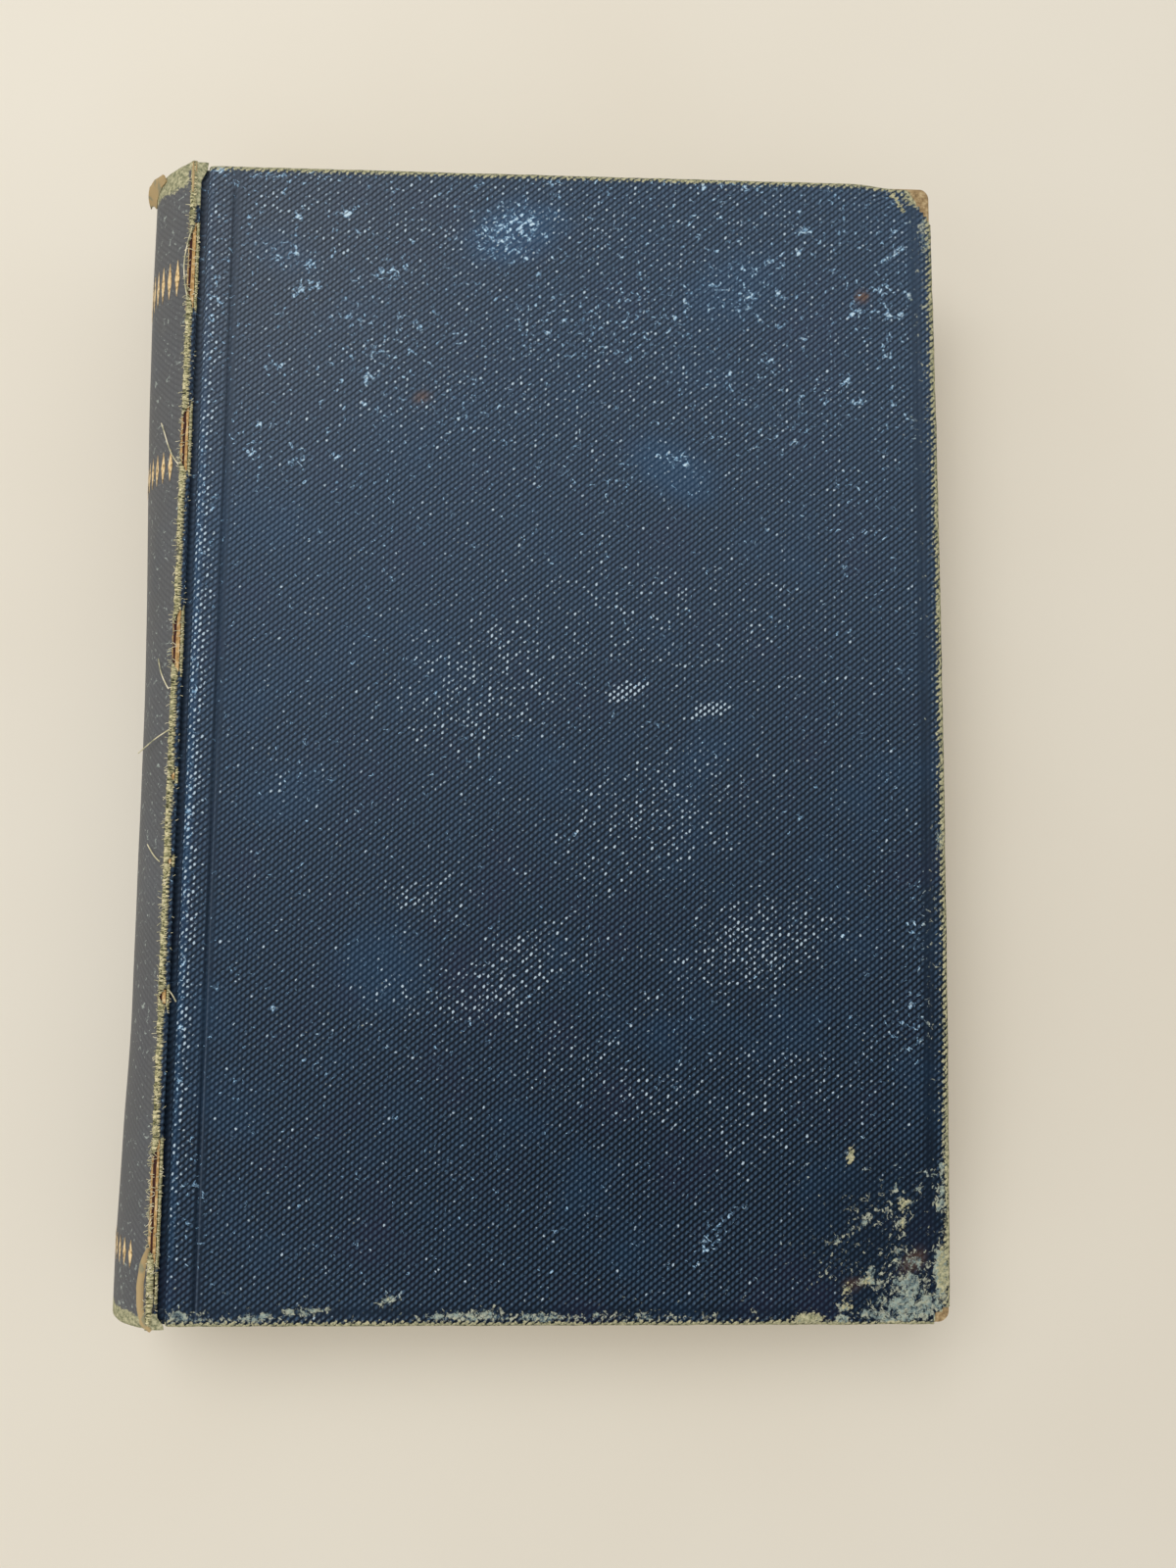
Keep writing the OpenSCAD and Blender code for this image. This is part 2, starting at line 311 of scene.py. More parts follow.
clothLook = {
    # the groove colour is painted shade in the grain, and the crown colour painted highlight on it
    "groove": "#02060d",
    "thread": "#0c1a29",
    "crown": "#384d62",
    "teal": "#1c4a70",
    "violet": "#1d1a33",
    # sun-faded blue, also used for the painted highlight on the front
    "fadedBlue": "#55677c",
    "fadedGrey": "#787877",
    "speck": "#6c9abf",
    "speckWhite": "#bfd6e4",
    "speckGrey": "#a6aa98",
    "crownWhite": "#b3c6d4",
    "rust": "#75563a",
    "rubLow": "#696d52",
    "rubHigh": "#bcb794",
    "baldLow": "#46585f",
    "baldMid": "#8d9c95",
    "baldHigh": "#b6b594",
    "frayDark": "#3a3b2c",
    "frayLow": "#88865f",
    "frayHigh": "#d6cca3",
    # the two families of rows in the grain: spacing in mm, and direction in degrees
    "ribPitch": 0.955,
    "ribAngle": -50.3,
    "crossPitch": 1.015,
    "crossAngle": 52.5,
}


def bookCloth():
    # dyed and starched book cloth, grained with a slanting lattice of small raised dots: matt and dark,
    # with single dots rubbed white, pale edges, and undyed cotton where it has frayed
    look = clothLook
    material, node = newMaterial("grainedBookCloth")
    where = node("Attribute", attribute_name="clothPlace").outputs["Vector"]
    wear = {}
    for kind in wearKinds:
        wear[kind] = node("Attribute", attribute_name=kind).outputs["Fac"]

    # the grain wanders a little, so that no row is dead straight
    drift = node("TexNoise", {"Vector": where, "Scale": 0.35, "Detail": 2.0})
    centred = node("VectorMath", [drift.outputs["Color"], (0.5, 0.5, 0.5)], operation="SUBTRACT")
    pushed = node("VectorMath", {"Scale": 0.35, 0: centred}, operation="SCALE")
    woven = node("VectorMath", [where, pushed], operation="ADD")

    def rowPhase(pitch, angle):
        turn = 2 * math.pi / pitch
        ray = (turn * math.cos(math.radians(angle)), turn * math.sin(math.radians(angle)), 0.0)
        return node("VectorMath", [woven, ray], operation="DOT_PRODUCT").outputs["Value"]

    ribPhase = rowPhase(look["ribPitch"], look["ribAngle"])
    crossPhase = rowPhase(look["crossPitch"], look["crossAngle"])
    halfRib = node("Math", [ribPhase, 0.5], operation="MULTIPLY")
    ribCosine = node("Math", [halfRib], operation="COSINE")
    ribWave = node("Math", [ribCosine], operation="ABSOLUTE")
    crossWave = node("Math", [crossPhase], operation="COSINE")
    dotPhase = node("Math", [ribPhase, crossPhase], operation="ADD")
    dotWave = node("Math", [dotPhase], operation="COSINE")
    dotPair = node("Math", [crossWave, 0.6, dotWave], operation="MULTIPLY_ADD")
    ribRows = node("Math", [ribWave, 0.60, 0.02], operation="MULTIPLY_ADD")
    grain = node("Math", [dotPair, 0.10, ribRows], operation="MULTIPLY_ADD")
    fibre = node("TexNoise", {"Vector": where, "Scale": 2.6, "Detail": 3.0, "Roughness": 0.75})
    fullRelief = node("Math", [fibre, 0.55, grain], operation="MULTIPLY_ADD")
    # the hot line has flattened the grain
    kept = node("Math", [wear["pressed"], -0.75, 1.0], operation="MULTIPLY_ADD")
    levelled = node("Math", [wear["pressed"], 0.45], operation="MULTIPLY")
    relief = node("Math", [fullRelief, kept, levelled], operation="MULTIPLY_ADD")

    # painted shade and highlight: the weave is painted dark in the grooves and lighter on the crowns,
    # with broad teal and violet drifts of the dye
    tint = node("ValToRGB", [relief])
    setRamp(tint, [(0.38, look["groove"]), (0.68, look["thread"]), (0.98, look["crown"])])
    broad = node("TexNoise", {"Vector": where, "Scale": 0.045, "Detail": 3.0, "Roughness": 0.6})
    tealDrift = node("MapRange", [broad, 0.52, 0.72, 0.0, 0.12])
    tealPlace = node("Math", [wear["teal"], 0.32], operation="MULTIPLY")
    tealPart = node("Math", [tealDrift, tealPlace], operation="MAXIMUM")
    teal = node("MixRGB", [tealPart, tint, hexColour(look["teal"])])
    violetPart = node("MapRange", [broad, 0.46, 0.30, 0.0, 0.30])
    violet = node("MixRGB", [violetPart, teal, hexColour(look["violet"])])
    # the crowns are greyed by sun fading, most on the spine, and on the front by painted highlight: the
    # lamp's glare painted lighter and greyer towards the head
    fadeCrowns = node("MapRange", [relief, 0.35, 1.0, 0.25])
    fadeAndHighlightPart = node("Math", [wear["fade"], fadeCrowns], operation="MULTIPLY")
    fadeAndHighlightTint = node("ValToRGB", [wear["fade"]])
    setRamp(fadeAndHighlightTint, [(0.55, look["fadedBlue"]), (0.90, look["fadedGrey"])])
    dyed = node("MixRGB", [fadeAndHighlightPart, violet, fadeAndHighlightTint])
    rustPart = node("Math", [wear["rust"], fadeCrowns], operation="MULTIPLY")
    rusted = node("MixRGB", [rustPart, dyed, hexColour(look["rust"])])

    # single dots rubbed white, thick in the chalky places
    crownDots = node("MapRange", [relief, 0.78, 0.92])
    crownNoise = node("TexNoise", {"Vector": where, "Scale": 1.0, "Detail": 0.0})
    crownDrift = node("TexNoise", {"Vector": where, "Scale": 0.20, "Detail": 3.0, "Roughness": 0.6})
    crownBlend = node("Math", [crownDrift, 0.5, crownNoise], operation="MULTIPLY_ADD")
    crownLevel = node("Math", [wear["chalk"], 0.23, crownBlend], operation="MULTIPLY_ADD")
    crownPick = node("MapRange", [crownLevel, 0.975, 1.10, 0.0, 0.9])
    crownMask = node("Math", [crownDots, crownPick], operation="MULTIPLY")
    chalked = node("MixRGB", [crownMask, rusted, hexColour(look["crownWhite"])])

    # flecks of 0.3 to 2 mm where the dye has come off: light blue, and grey where the cloth is worn bare
    fleck = node("TexNoise", {
        "Vector": where, "Scale": 0.85, "Detail": 5.0, "Roughness": 0.66, "Distortion": 0.7,
    })
    fleckLevel = node("Math", [wear["scuff"], 0.15, fleck], operation="MULTIPLY_ADD")
    fleckPick = node("MapRange", [fleckLevel, 0.665, 0.70, 0.0, 0.95])
    fleckDots = node("MapRange", [relief, 0.40, 0.75, 0.25])
    fleckMask = node("Math", [fleckPick, fleckDots], operation="MULTIPLY")
    fleckHeart = node("MapRange", [fleckLevel, 0.68, 0.76])
    fleckBlue = node("MixRGB", [fleckHeart, hexColour(look["speck"]), hexColour(look["speckWhite"])])
    fleckTint = node("MixRGB", [wear["bare"], fleckBlue, hexColour(look["speckGrey"])])
    flecked = node("MixRGB", [fleckMask, chalked, fleckTint])

    # bald places, where the blue has gone down to grey-green starch and straw-coloured cotton
    baldNoise = node("TexNoise", {
        "Vector": where, "Scale": 0.42, "Detail": 6.0, "Roughness": 0.72, "Distortion": 0.4,
    })
    bareShare = node("MapRange", [wear["bare"], 0.0, 1.0, 0.16, 0.30])
    baldLevel = node("Math", [wear["scuff"], bareShare, baldNoise], operation="MULTIPLY_ADD")
    baldPick = node("MapRange", [baldLevel, 0.80, 0.85, 0.0, 0.95])
    baldGrain = node("TexNoise", {"Vector": where, "Scale": 1.6, "Detail": 4.0, "Roughness": 0.7})
    baldBreak = node("MapRange", [baldGrain, 0.41, 0.52])
    baldPart = node("Math", [baldPick, baldBreak], operation="MULTIPLY")
    baldCloud = node("TexNoise", {"Vector": woven, "Scale": 0.5, "Detail": 5.0, "Roughness": 0.75})
    baldTint = node("ValToRGB", [baldCloud])
    setRamp(baldTint, [(0.36, look["baldLow"]), (0.52, look["baldMid"]), (0.66, look["baldHigh"])])
    bald = node("MixRGB", [baldPart, flecked, baldTint])

    # rubbed edges, pale olive to straw yellow
    rubNoise = node("TexNoise", {"Vector": where, "Scale": 1.3, "Detail": 4.0, "Roughness": 0.7})
    rubTint = node("ValToRGB", [rubNoise])
    setRamp(rubTint, [(0.38, look["rubLow"]), (0.62, look["rubHigh"])])
    rubGrain = node("Math", [rubNoise, 1.0, -0.77], operation="MULTIPLY_ADD")
    rubWeave = node("Math", [relief, 0.60, rubGrain], operation="MULTIPLY_ADD")
    rubLevel = node("Math", [rubWeave, wear["rubbed"]], operation="ADD")
    rubPick = node("MapRange", [rubLevel, 0.48, 0.64, 0.0, 0.95])
    worn = node("MixRGB", [rubPick, bald, rubTint])

    # frayed cotton, in threads that run across the joint
    threadPlace = node("Mapping", {"Vector": where, "Scale": (0.55, 2.3, 1.0)})
    threads = node("TexNoise", {"Vector": threadPlace, "Scale": 1.0, "Detail": 4.0, "Roughness": 0.75})
    threadTint = node("ValToRGB", [threads])
    setRamp(threadTint, [(0.41, look["frayDark"]), (0.48, look["frayLow"]), (0.58, look["frayHigh"])])
    frayLevel = node("Math", [threads, 0.7, wear["fray"]], operation="MULTIPLY_ADD")
    frayPick = node("MapRange", [frayLevel, 0.78, 0.92])
    frayed = node("MixRGB", [frayPick, worn, threadTint])

    wearSum = node("Math", [rubPick, frayPick], operation="MAXIMUM")
    rough = node("MapRange", [wearSum, 0.0, 1.0, 0.50, 0.85])
    frayBump = node("Math", [threads, frayPick], operation="MULTIPLY")
    height = node("Math", [frayBump, 2.2, relief], operation="MULTIPLY_ADD")
    finishMaterial(node, frayed, height, 0.85, 0.00014, {"Specular IOR Level": 0.06, "Roughness": rough})
    return material


def cottonThread():
    # undyed cotton thread, dulled by glue and dust: straw yellow to grey-green, matt
    material, node = newMaterial("frayedCottonThread")
    where = node("TexCoord").outputs["Object"]
    blotch = node("TexNoise", {"Vector": where, "Scale": 450.0, "Detail": 3.0})
    tint = node("ValToRGB", [blotch])
    setRamp(tint, [(0.36, "#8d8e72"), (0.5, "#c6bf98"), (0.64, "#e8dfc2")])
    ply = node("TexNoise", {"Vector": where, "Scale": 9000.0, "Detail": 1.0})
    finishMaterial(node, tint, ply, 0.4, 0.00003, {"Roughness": 0.9, "Sheen Weight": 0.2})
    return material


def strawBoard():
    # rolled straw board, broken open at the corners: ochre brown, fibrous and dull
    material, node = newMaterial("rolledStrawBoard")
    where = node("TexCoord").outputs["Object"]
    fibre = node("TexNoise", {"Vector": where, "Scale": 900.0, "Detail": 6.0, "Roughness": 0.7})
    tint = node("ValToRGB", [fibre])
    setRamp(tint, [(0.34, "#6b5638"), (0.5, "#98805a"), (0.66, "#bba67e")])
    flat = node("Mapping", {"Vector": where, "Scale": (300.0, 300.0, 3200.0)})
    ply = node("TexNoise", {"Vector": flat, "Scale": 1.0, "Detail": 3.0})
    finishMaterial(node, tint, ply, 0.6, 0.0001, {"Roughness": 0.9})
    return material


pageLook = {
    "glueRadius": (0.0179, 0.0183),
    "glueFrom": (-0.0664, -0.0672),
}


def leafEdges():
    # machine-made book paper seen on its cut edges: toned cream, lined by the dust between the leaves,
    # and brown with glue where the back was lined
    material, node = newMaterial("tonedBookPaper")
    where = node("TexCoord").outputs["Object"]
    leaves = node("Mapping", {"Vector": where, "Scale": (60.0, 60.0, 5200.0)})
    lines = node("TexNoise", {"Vector": leaves, "Scale": 1.0, "Detail": 3.0, "Roughness": 0.6})
    tint = node("ValToRGB", [lines])
    setRamp(tint, [(0.30, "#8c7750"), (0.47, "#c9b78f"), (0.68, "#ddd0ac")])
    soil = node("TexNoise", {"Vector": where, "Scale": 55.0, "Detail": 5.0, "Roughness": 0.65})
    soilPart = node("MapRange", [soil, 0.52, 0.75, 0.0, 0.5])
    soiled = node("MixRGB", [soilPart, tint, hexColour("#9a7b4d")])
    axes = node("SeparateXYZ", {"Vector": where})
    glueNoise = node("TexNoise", {"Vector": where, "Scale": 700.0, "Detail": 4.0})
    glueTint = node("ValToRGB", [glueNoise])
    setRamp(glueTint, [(0.35, "#3a1206"), (0.52, "#7a3216"), (0.68, "#b8703a")])
    # the glue lies on the rounded back alone, and shows as a thin line at its rim
    fromAxis = node("VectorMath", [where, (book["spineX"] * mm, 0.0, midZ * mm)], operation="SUBTRACT")
    inSection = node("VectorMath", [fromAxis, (1.0, 0.0, 1.0)], operation="MULTIPLY")
    radius = node("VectorMath", [inSection], operation="LENGTH")
    nearRim = node("MapRange", [radius.outputs["Value"], *pageLook["glueRadius"]])
    nearBack = node("MapRange", [axes.outputs["X"], *pageLook["glueFrom"]])
    gluePart = node("Math", [nearRim, nearBack], operation="MULTIPLY")
    glued = node("MixRGB", [gluePart, soiled, glueTint])
    finishMaterial(node, glued, lines, 0.7, 0.0001, {"Roughness": 0.88})
    return material


def plainPaper(name, low, high, spot, spotLevel):
    # plain wove and kraft papers and card: matt, softly clouded, with fine fibres and small brown spots
    material, node = newMaterial(name)
    where = node("TexCoord").outputs["Object"]
    fibre = node("TexNoise", {"Vector": where, "Scale": 1600.0, "Detail": 3.0})
    cloud = node("TexNoise", {"Vector": where, "Scale": 28.0, "Detail": 4.0})
    tint = node("ValToRGB", [cloud])
    setRamp(tint, [(0.35, low), (0.65, high)])
    fox = node("TexNoise", {"Vector": where, "Scale": 260.0, "Detail": 2.0, "Roughness": 0.6})
    foxPart = node("MapRange", [fox, spotLevel, spotLevel + 0.06, 0.0, 0.6])
    foxed = node("MixRGB", [foxPart, tint, hexColour(spot)])
    finishMaterial(node, foxed, fibre, 0.35, 0.00005, {"Roughness": 0.88})
    return material


def splitLining():
    # tan lining paper, torn: dry and fibrous, with a dark gap where the glue below it shows
    material, node = newMaterial("tornTanLining")
    where = node("TexCoord").outputs["Object"]
    fibre = node("TexNoise", {"Vector": where, "Scale": 1100.0, "Detail": 4.0, "Roughness": 0.7})
    tint = node("ValToRGB", [fibre])
    setRamp(tint, [(0.36, "#8d6a3c"), (0.52, "#b8945f"), (0.66, "#d6bd90")])
    gap = node("Attribute", attribute_name="gap")
    gapEdge = node("Math", [fibre, 0.5, gap.outputs["Fac"]], operation="MULTIPLY_ADD")
    gapPart = node("MapRange", [gapEdge, 0.50, 0.66])
    torn = node("MixRGB", [gapPart, tint, hexColour("#34110a")])
    finishMaterial(node, torn, fibre, 0.5, 0.00008, {"Roughness": 0.9})
    return material


def mullGauze():
    # starched cotton mull: an open square weave stained by hide glue
    material, node = newMaterial("starchedMull")
    where = node("TexCoord").outputs["Object"]
    threads = {"Vector": where, "Scale": 180.0, "Distortion": 0.6}
    acrossWave = node("TexWave", threads, bands_direction="X")
    alongWave = node("TexWave", threads, bands_direction="Y")
    weave = node("Math", [acrossWave.outputs["Fac"], alongWave.outputs["Fac"]], operation="MAXIMUM")
    tint = node("ValToRGB", [weave])
    setRamp(tint, [(0.3, "#6b5130"), (0.8, "#c2ad7d")])
    finishMaterial(node, tint, weave, 0.8, 0.0001, {"Roughness": 0.85})
    return material


def giltFoil():
    # gold leaf blocked onto cloth: rubbed, so that it glints in broken patches
    material, node = newMaterial("rubbedGoldLeaf")
    where = node("TexCoord").outputs["Object"]
    rub = node("TexNoise", {"Vector": where, "Scale": 1300.0, "Detail": 4.0})
    tint = node("ValToRGB", [rub])
    setRamp(tint, [(0.36, "#8f774a"), (0.5, "#e0c08a"), (0.7, "#f0dcae")])
    finishMaterial(node, tint, rub, 0.5, 0.00005, {"Metallic": 0.35, "Roughness": 0.42})
    return material


clothMaterial = bookCloth()
threadMaterial = cottonThread()
boardMaterial = strawBoard()
pageMaterial = leafEdges()
endpaperMaterial = plainPaper("foxedWoveEndpaper", "#cdbf9b", "#dccfae", "#a5773f", 0.66)
kraftMaterial = plainPaper("brownKraftLining", "#6d3f22", "#8a5430", "#3e1d0e", 0.62)
cardMaterial = plainPaper("tannedSpineCard", "#8a5b33", "#a06d3f", "#5b3518", 0.64)
gauzeMaterial = mullGauze()
giltMaterial = giltFoil()
tornMaterial = splitLining()
capMaterial = plainPaper("wornCapLining", "#94805a", "#bfa577", "#737c68", 0.50)

nodeMaterials = {
    "front_board": boardMaterial,
    "back_board": boardMaterial,
    "front_flyleaf": endpaperMaterial,
    "back_flyleaf": endpaperMaterial,
    "front_pastedown": endpaperMaterial,
    "back_pastedown": endpaperMaterial,
    "spine_lining": kraftMaterial,
    "spine_card": cardMaterial,
    "spine_gauze": gauzeMaterial,
    "front_gauze": gauzeMaterial,
    "back_gauze": gauzeMaterial,
}
for nodeName, nodeMaterial in nodeMaterials.items():
    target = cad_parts[nodeName].data.materials
    target.clear()
    target.append(nodeMaterial)
print("stage: materials")


# Worn-through joint at the front

# Places where the cloth has parted: upper end, lower end, greatest width, and how far to the right
# the gap in the lining lies
tears = [
    (98.5, 80.0, 1.05, 0.0),
    (61.6, 47.4, 1.15, 0.55),
    (21.4, 8.4, 1.15, -0.15),
    (-9.9, -12.0, 0.6, 0.2),
    (-26.0, -27.6, 0.5, 0.2),
    (-50.2, -53.3, 0.75, 0.1),
    (-77.3, -99.8, 1.35, 0.6),
    (-99.0, -108.6, 0.32, 0.0),
]


def tearWidth(y):
    # how far the torn edge stands back from the joint at this height
    width = 0.0
    for upper, lower, most, _ in tears:
        if lower < y < upper:
            part = (upper - y) / (upper - lower)
            width = max(width, most * math.sin(math.pi * part) ** 0.7)
    return width


# Cloth of the covers

coverShape = {
    "boardEdge": -65.28,
    "grooveX": -66.0,
    "grooveZ": 34.85,
    "grooveR": 0.72,
    "rollX": -67.0,
    "rollZ": 35.2,
    "rollR": 0.28,
    "edgeRound": 0.9,
    "cornerRound": 3.0,
    "underZ": 32.5,
    "turnIn": 15.0,
    "clothThick": 0.28,
    "bow": 0.8,
    "headOut": 0.3,
    "fineStep": 0.5,
    "scuffStep": 1.0,
    "frontStep": 1.2,
    "backStep": 1.35,
    "cornerDip": 0.95,
    "smoothTurn": 50,
}
# Pressed lines on the front: the axis that each one crosses, where, its depth, its width to either side,
# and where it begins and ends
pressedLines = {
    "joint": ("x", -60.05, 0.38, 0.40, 0.80, (-108.4, -107.4), (105.6, 104.6)),
    "fore": ("x", 74.4, 0.12, 0.5, 0.5, (-108.4, -107.4), (105.6, 104.6)),
    "tail": ("y", -107.9, 0.14, 0.5, 0.5, (-60.4, -59.6), (75.0, 74.2)),
}

# Scuffed places on the front: centre, half sizes, turn in degrees, strength
scuffPlaces = [
    (-6, 98, 9, 5.5, 20, 0.95), (-50, 92, 8, 4.5, -30, 0.55), (38, 87, 10, 7, 30, 0.62),
    (66, 86, 8, 5.5, 20, 0.55), (14, 80, 24, 12, 10, 0.5), (-30, 76, 20, 10, -10, 0.45),
    (50, 62, 15, 9, 30, 0.45), (-15, 62, 13, 8, 0, 0.4), (12, 50, 17, 8, 0, 0.35),
    (62, 40, 7, 12, 0, 0.35), (-52, 52, 8, 14, 0, 0.35), (26.8, 51.8, 4.5, 2, -30, 0.8),
    (-44, -10, 12, 9, 30, 0.25), (20, -20, 20, 12, 20, 0.2), (73, -38, 3, 12, 0, 0.5),
    (71, -56, 4, 8, 0, 0.6), (69, -102, 7, 6, 30, 0.85), (74, -107, 3.6, 3.4, 0, 1.3),
    (58, -99, 7, 5, 40, 0.5), (66, -90, 7, 6, 0, 0.6), (-64.2, 0, 0.8, 104, 0, 0.65),
    (34.3, -94.3, 8, 1.6, 50, 0.75), (-10.3, -108.5, 8, 1.2, 0, 1.25), (-25.2, -105.6, 2.6, 1.2, 30, 1.2),
    (20, -108.6, 20, 1.0, 0, 0.85), (-63, -108.8, 3.5, 1.4, 0, 0.95), (-60, -90, 3, 12, 0, 0.4),
    (-62, 80, 2.5, 25, 0, 0.4), (76.5, 99, 1.6, 5, 0, 0.9), (-40, -62, 6, 2.5, 40, 0.4),
    (77, -20.5, 1.2, 4, 0, 1.1), (69.5, 94.6, 3.4, 0.6, 38, 1.3), (-63, 108.6, 2.0, 1.0, 0, 1.2),
    (-52, 107.5, 6, 1.2, 0, 0.8), (40, 108.4, 20, 0.8, 0, 0.7),
    # single scuffs of the upper right
    (30.6, 102.6, 1.1, 0.9, 0, 1.0), (29.3, 100.2, 0.9, 0.9, 0, 1.0), (31.9, 98.4, 1.2, 0.9, 20, 0.9),
    (52.2, 99.3, 1.6, 1.2, 0, 1.2), (59.7, 99.3, 1.4, 1.1, 0, 1.1), (46.2, 93.3, 2.4, 0.8, 38, 1.3),
    (51.4, 94.2, 1.1, 1.1, 0, 1.2), (48.1, 92.2, 1.6, 0.8, 10, 1.0), (39.9, 89.1, 1.0, 0.9, 0, 1.1),
    (40.6, 85.0, 3.5, 2.0, 25, 1.0), (47.7, 85.6, 2.4, 1.1, 0, 1.05), (49.5, 79.5, 1.2, 0.9, 0, 1.0),
    (51.7, 76.9, 1.1, 0.9, 0, 1.0), (61.8, 82.5, 1.8, 1.0, 0, 1.2), (67.1, 87.1, 2.3, 0.8, 30, 1.2),
    (73.1, 85.9, 0.9, 1.4, 0, 1.2), (68.1, 82.1, 1.4, 1.1, 30, 1.2), (71.1, 82.0, 1.1, 0.9, 0, 1.1),
    (70.7, 99.8, 0.9, 1.3, 0, 1.3), (37.4, 69.2, 1.1, 0.9, 0, 1.1), (37.9, 66.2, 1.8, 0.9, -30, 1.1),
    (60.9, 68.6, 1.2, 0.9, 0, 1.3), (61.6, 64.3, 3.2, 0.9, 10, 1.1), (72.7, 61.3, 1.4, 1.0, 0, 1.1),
    (67.8, 59.7, 1.0, 1.0, 0, 1.0), (65.6, 57.0, 1.1, 0.9, 0, 1.0), (45.0, 72.3, 1.7, 1.5, 0, 1.0),
    (68.6, 74.2, 0.9, 1.7, 20, 1.2), (71.2, 71.8, 1.0, 0.9, 0, 1.0), (57.8, 91.3, 0.9, 0.9, 30, 1.3),
    (43.5, 68.6, 1.5, 1.1, 0, 0.9), (66.9, 75.7, 0.9, 1.1, 0, 1.1), (56.0, 64.7, 0.9, 0.9, 0, 1.1),
    # and of the upper left
    (-47.0, 99.7, 1.2, 1.1, 0, 1.0), (-38.5, 100.2, 2.7, 1.1, 30, 1.2), (-48.1, 91.9, 1.6, 1.1, 20, 1.2),
    (-44.5, 89.9, 2.2, 0.9, 20, 1.15), (-44.8, 85.1, 4.0, 1.6, 5, 1.0), (-29.6, 87.9, 3.1, 1.8, 0, 1.1),
    (-26.9, 89.9, 1.4, 1.2, 0, 1.0), (-29.5, 85.1, 1.3, 1.1, 0, 1.0), (-59.8, 106.0, 0.9, 0.9, 0, 1.0),
    (-50.3, 69.3, 1.9, 1.2, 0, 1.05), (-30.6, 72.1, 3.6, 1.3, 0, 1.0), (-38.0, 66.4, 1.2, 1.5, 0, 1.0),
    (-32.9, 67.4, 0.9, 2.2, 0, 1.2), (-54.8, 51.9, 2.0, 1.8, 0, 1.0), (-58.0, 54.6, 1.3, 1.0, 0, 1.0),
    (-63.3, 85.1, 1.1, 1.2, 0, 1.1), (-46.8, 49.8, 4.0, 0.9, 30, 1.0), (-51.5, 56.6, 1.0, 1.0, 0, 0.9),
    (-29.2, 59.4, 1.0, 0.9, 0, 1.0), (-39.1, 51.4, 1.1, 0.9, 0, 1.1),
    # and of the worn corner at the tail
    (69.7, -83.4, 0.9, 1.2, 10, 1.15), (67.7, -85.6, 1.1, 0.9, 60, 1.25),
    (72.3, -85.8, 1.4, 0.9, 10, 1.05), (69.9, -88.6, 1.8, 0.9, 10, 1.15),
    (68.6, -92.1, 1.3, 1.2, 60, 1.3), (69.2, -94.8, 0.9, 1.0, 0, 1.15), (59.1, -89.7, 0.9, 1.1, 10, 1.15),
    (62.2, -91.8, 0.9, 1.8, 0, 1.2), (59.6, -93.5, 1.5, 0.9, 20, 1.15), (57.1, -94.8, 1.5, 0.9, 40, 1.1),
    (54.5, -96.2, 0.9, 1.0, 0, 1.0), (65.4, -97.0, 1.1, 0.9, 0, 1.0), (68.5, -97.0, 0.9, 0.9, 40, 1.3),
    (63.3, -100.9, 1.0, 1.4, 15, 1.2), (62.3, -102.4, 1.3, 1.1, 60, 1.2),
    (64.6, -103.1, 1.8, 1.1, 20, 1.25), (58.5, -103.8, 1.4, 0.9, 50, 1.2),
    (58.2, -107.1, 1.8, 0.9, 10, 1.25), (70.4, -103.1, 3.6, 2.8, 10, 1.3),
    (68.6, -106.8, 4.8, 2.0, 0, 1.3), (75.8, -88.9, 0.9, 1.1, 0, 1.3), (75.4, -85.4, 0.9, 0.9, 0, 1.1),
    (76.0, -101, 1.5, 6.5, 0, 1.6), (51.5, -109.2, 3.0, 0.9, 0, 1.6), (57.4, -109.2, 2.2, 0.9, 0, 1.4),
    (67, -108.6, 8, 1.6, 0, 1.3), (72.0, -99.7, 1.0, 0.9, 0, 1.3), (50.3, -84.9, 1.0, 0.9, 0, 0.9),
    (62.3, -82.4, 0.9, 0.9, 40, 1.2), (59.5, -80.0, 0.9, 1.8, -8, 1.0), (76.4, -86, 0.9, 6, 0, 1.2),
    (74.3, -83.0, 1.8, 0.8, 0, 1.15),
    # and along the tail
    (-41, -107.7, 6, 1.0, 5, 1.05), (-47.3, -108.2, 1.6, 0.9, 0, 1.25),
    (-62.5, -108.6, 2.2, 1.2, 0, 1.35), (-52, -109.0, 12, 0.9, 0, 1.0), (2, -108.8, 14, 0.9, 0, 1.05),
]
# Chalky places, where the dots of the grain are white
chalkPlaces = [
    (17.5, 6.4, 4.0, 1.4, 10, 2.9), (33.5, 2.8, 4.0, 1.1, 15, 3.2), (-8.6, 7, 18, 13, 30, 0.7),
    (22, -18, 20, 11, 20, 0.6), (-4.1, -47.4, 15, 7, 30, 0.85), (41.7, -41.6, 16, 8, 20, 0.95),
    (0, 100, 75, 12, 0, 0.4), (10, 70, 60, 22, 0, 0.35), (45, -70, 18, 9, 30, 0.5),
    (16, -66, 18, 7, -20, 0.6), (-63.8, 0, 1.9, 104, 0, 1.25), (20, 20, 34, 13, 0, 0.4),
    (-25.7, -52, 6, 6, 0, 0.7), (-20.7, -33.9, 6, 5, 0, 0.6),
]
# Places worn down to straw-coloured cotton
strawPlaces = [
    (59.5, -80.0, 0.75, 1.7, -8, 0.85), (76.3, -101, 1.2, 6, 0, 0.62), (51.5, -109.0, 3, 0.9, 0, 0.8),
    (69.2, -88.8, 1.4, 1.2, 0, 0.6), (68.9, -92.3, 1.0, 1.2, 0, 0.6), (62.2, -102.6, 1.6, 1.0, 50, 0.55),
    (58.6, -104, 1.4, 1.2, 50, 0.5), (58.3, -107, 1.8, 0.9, 0, 0.55),
]
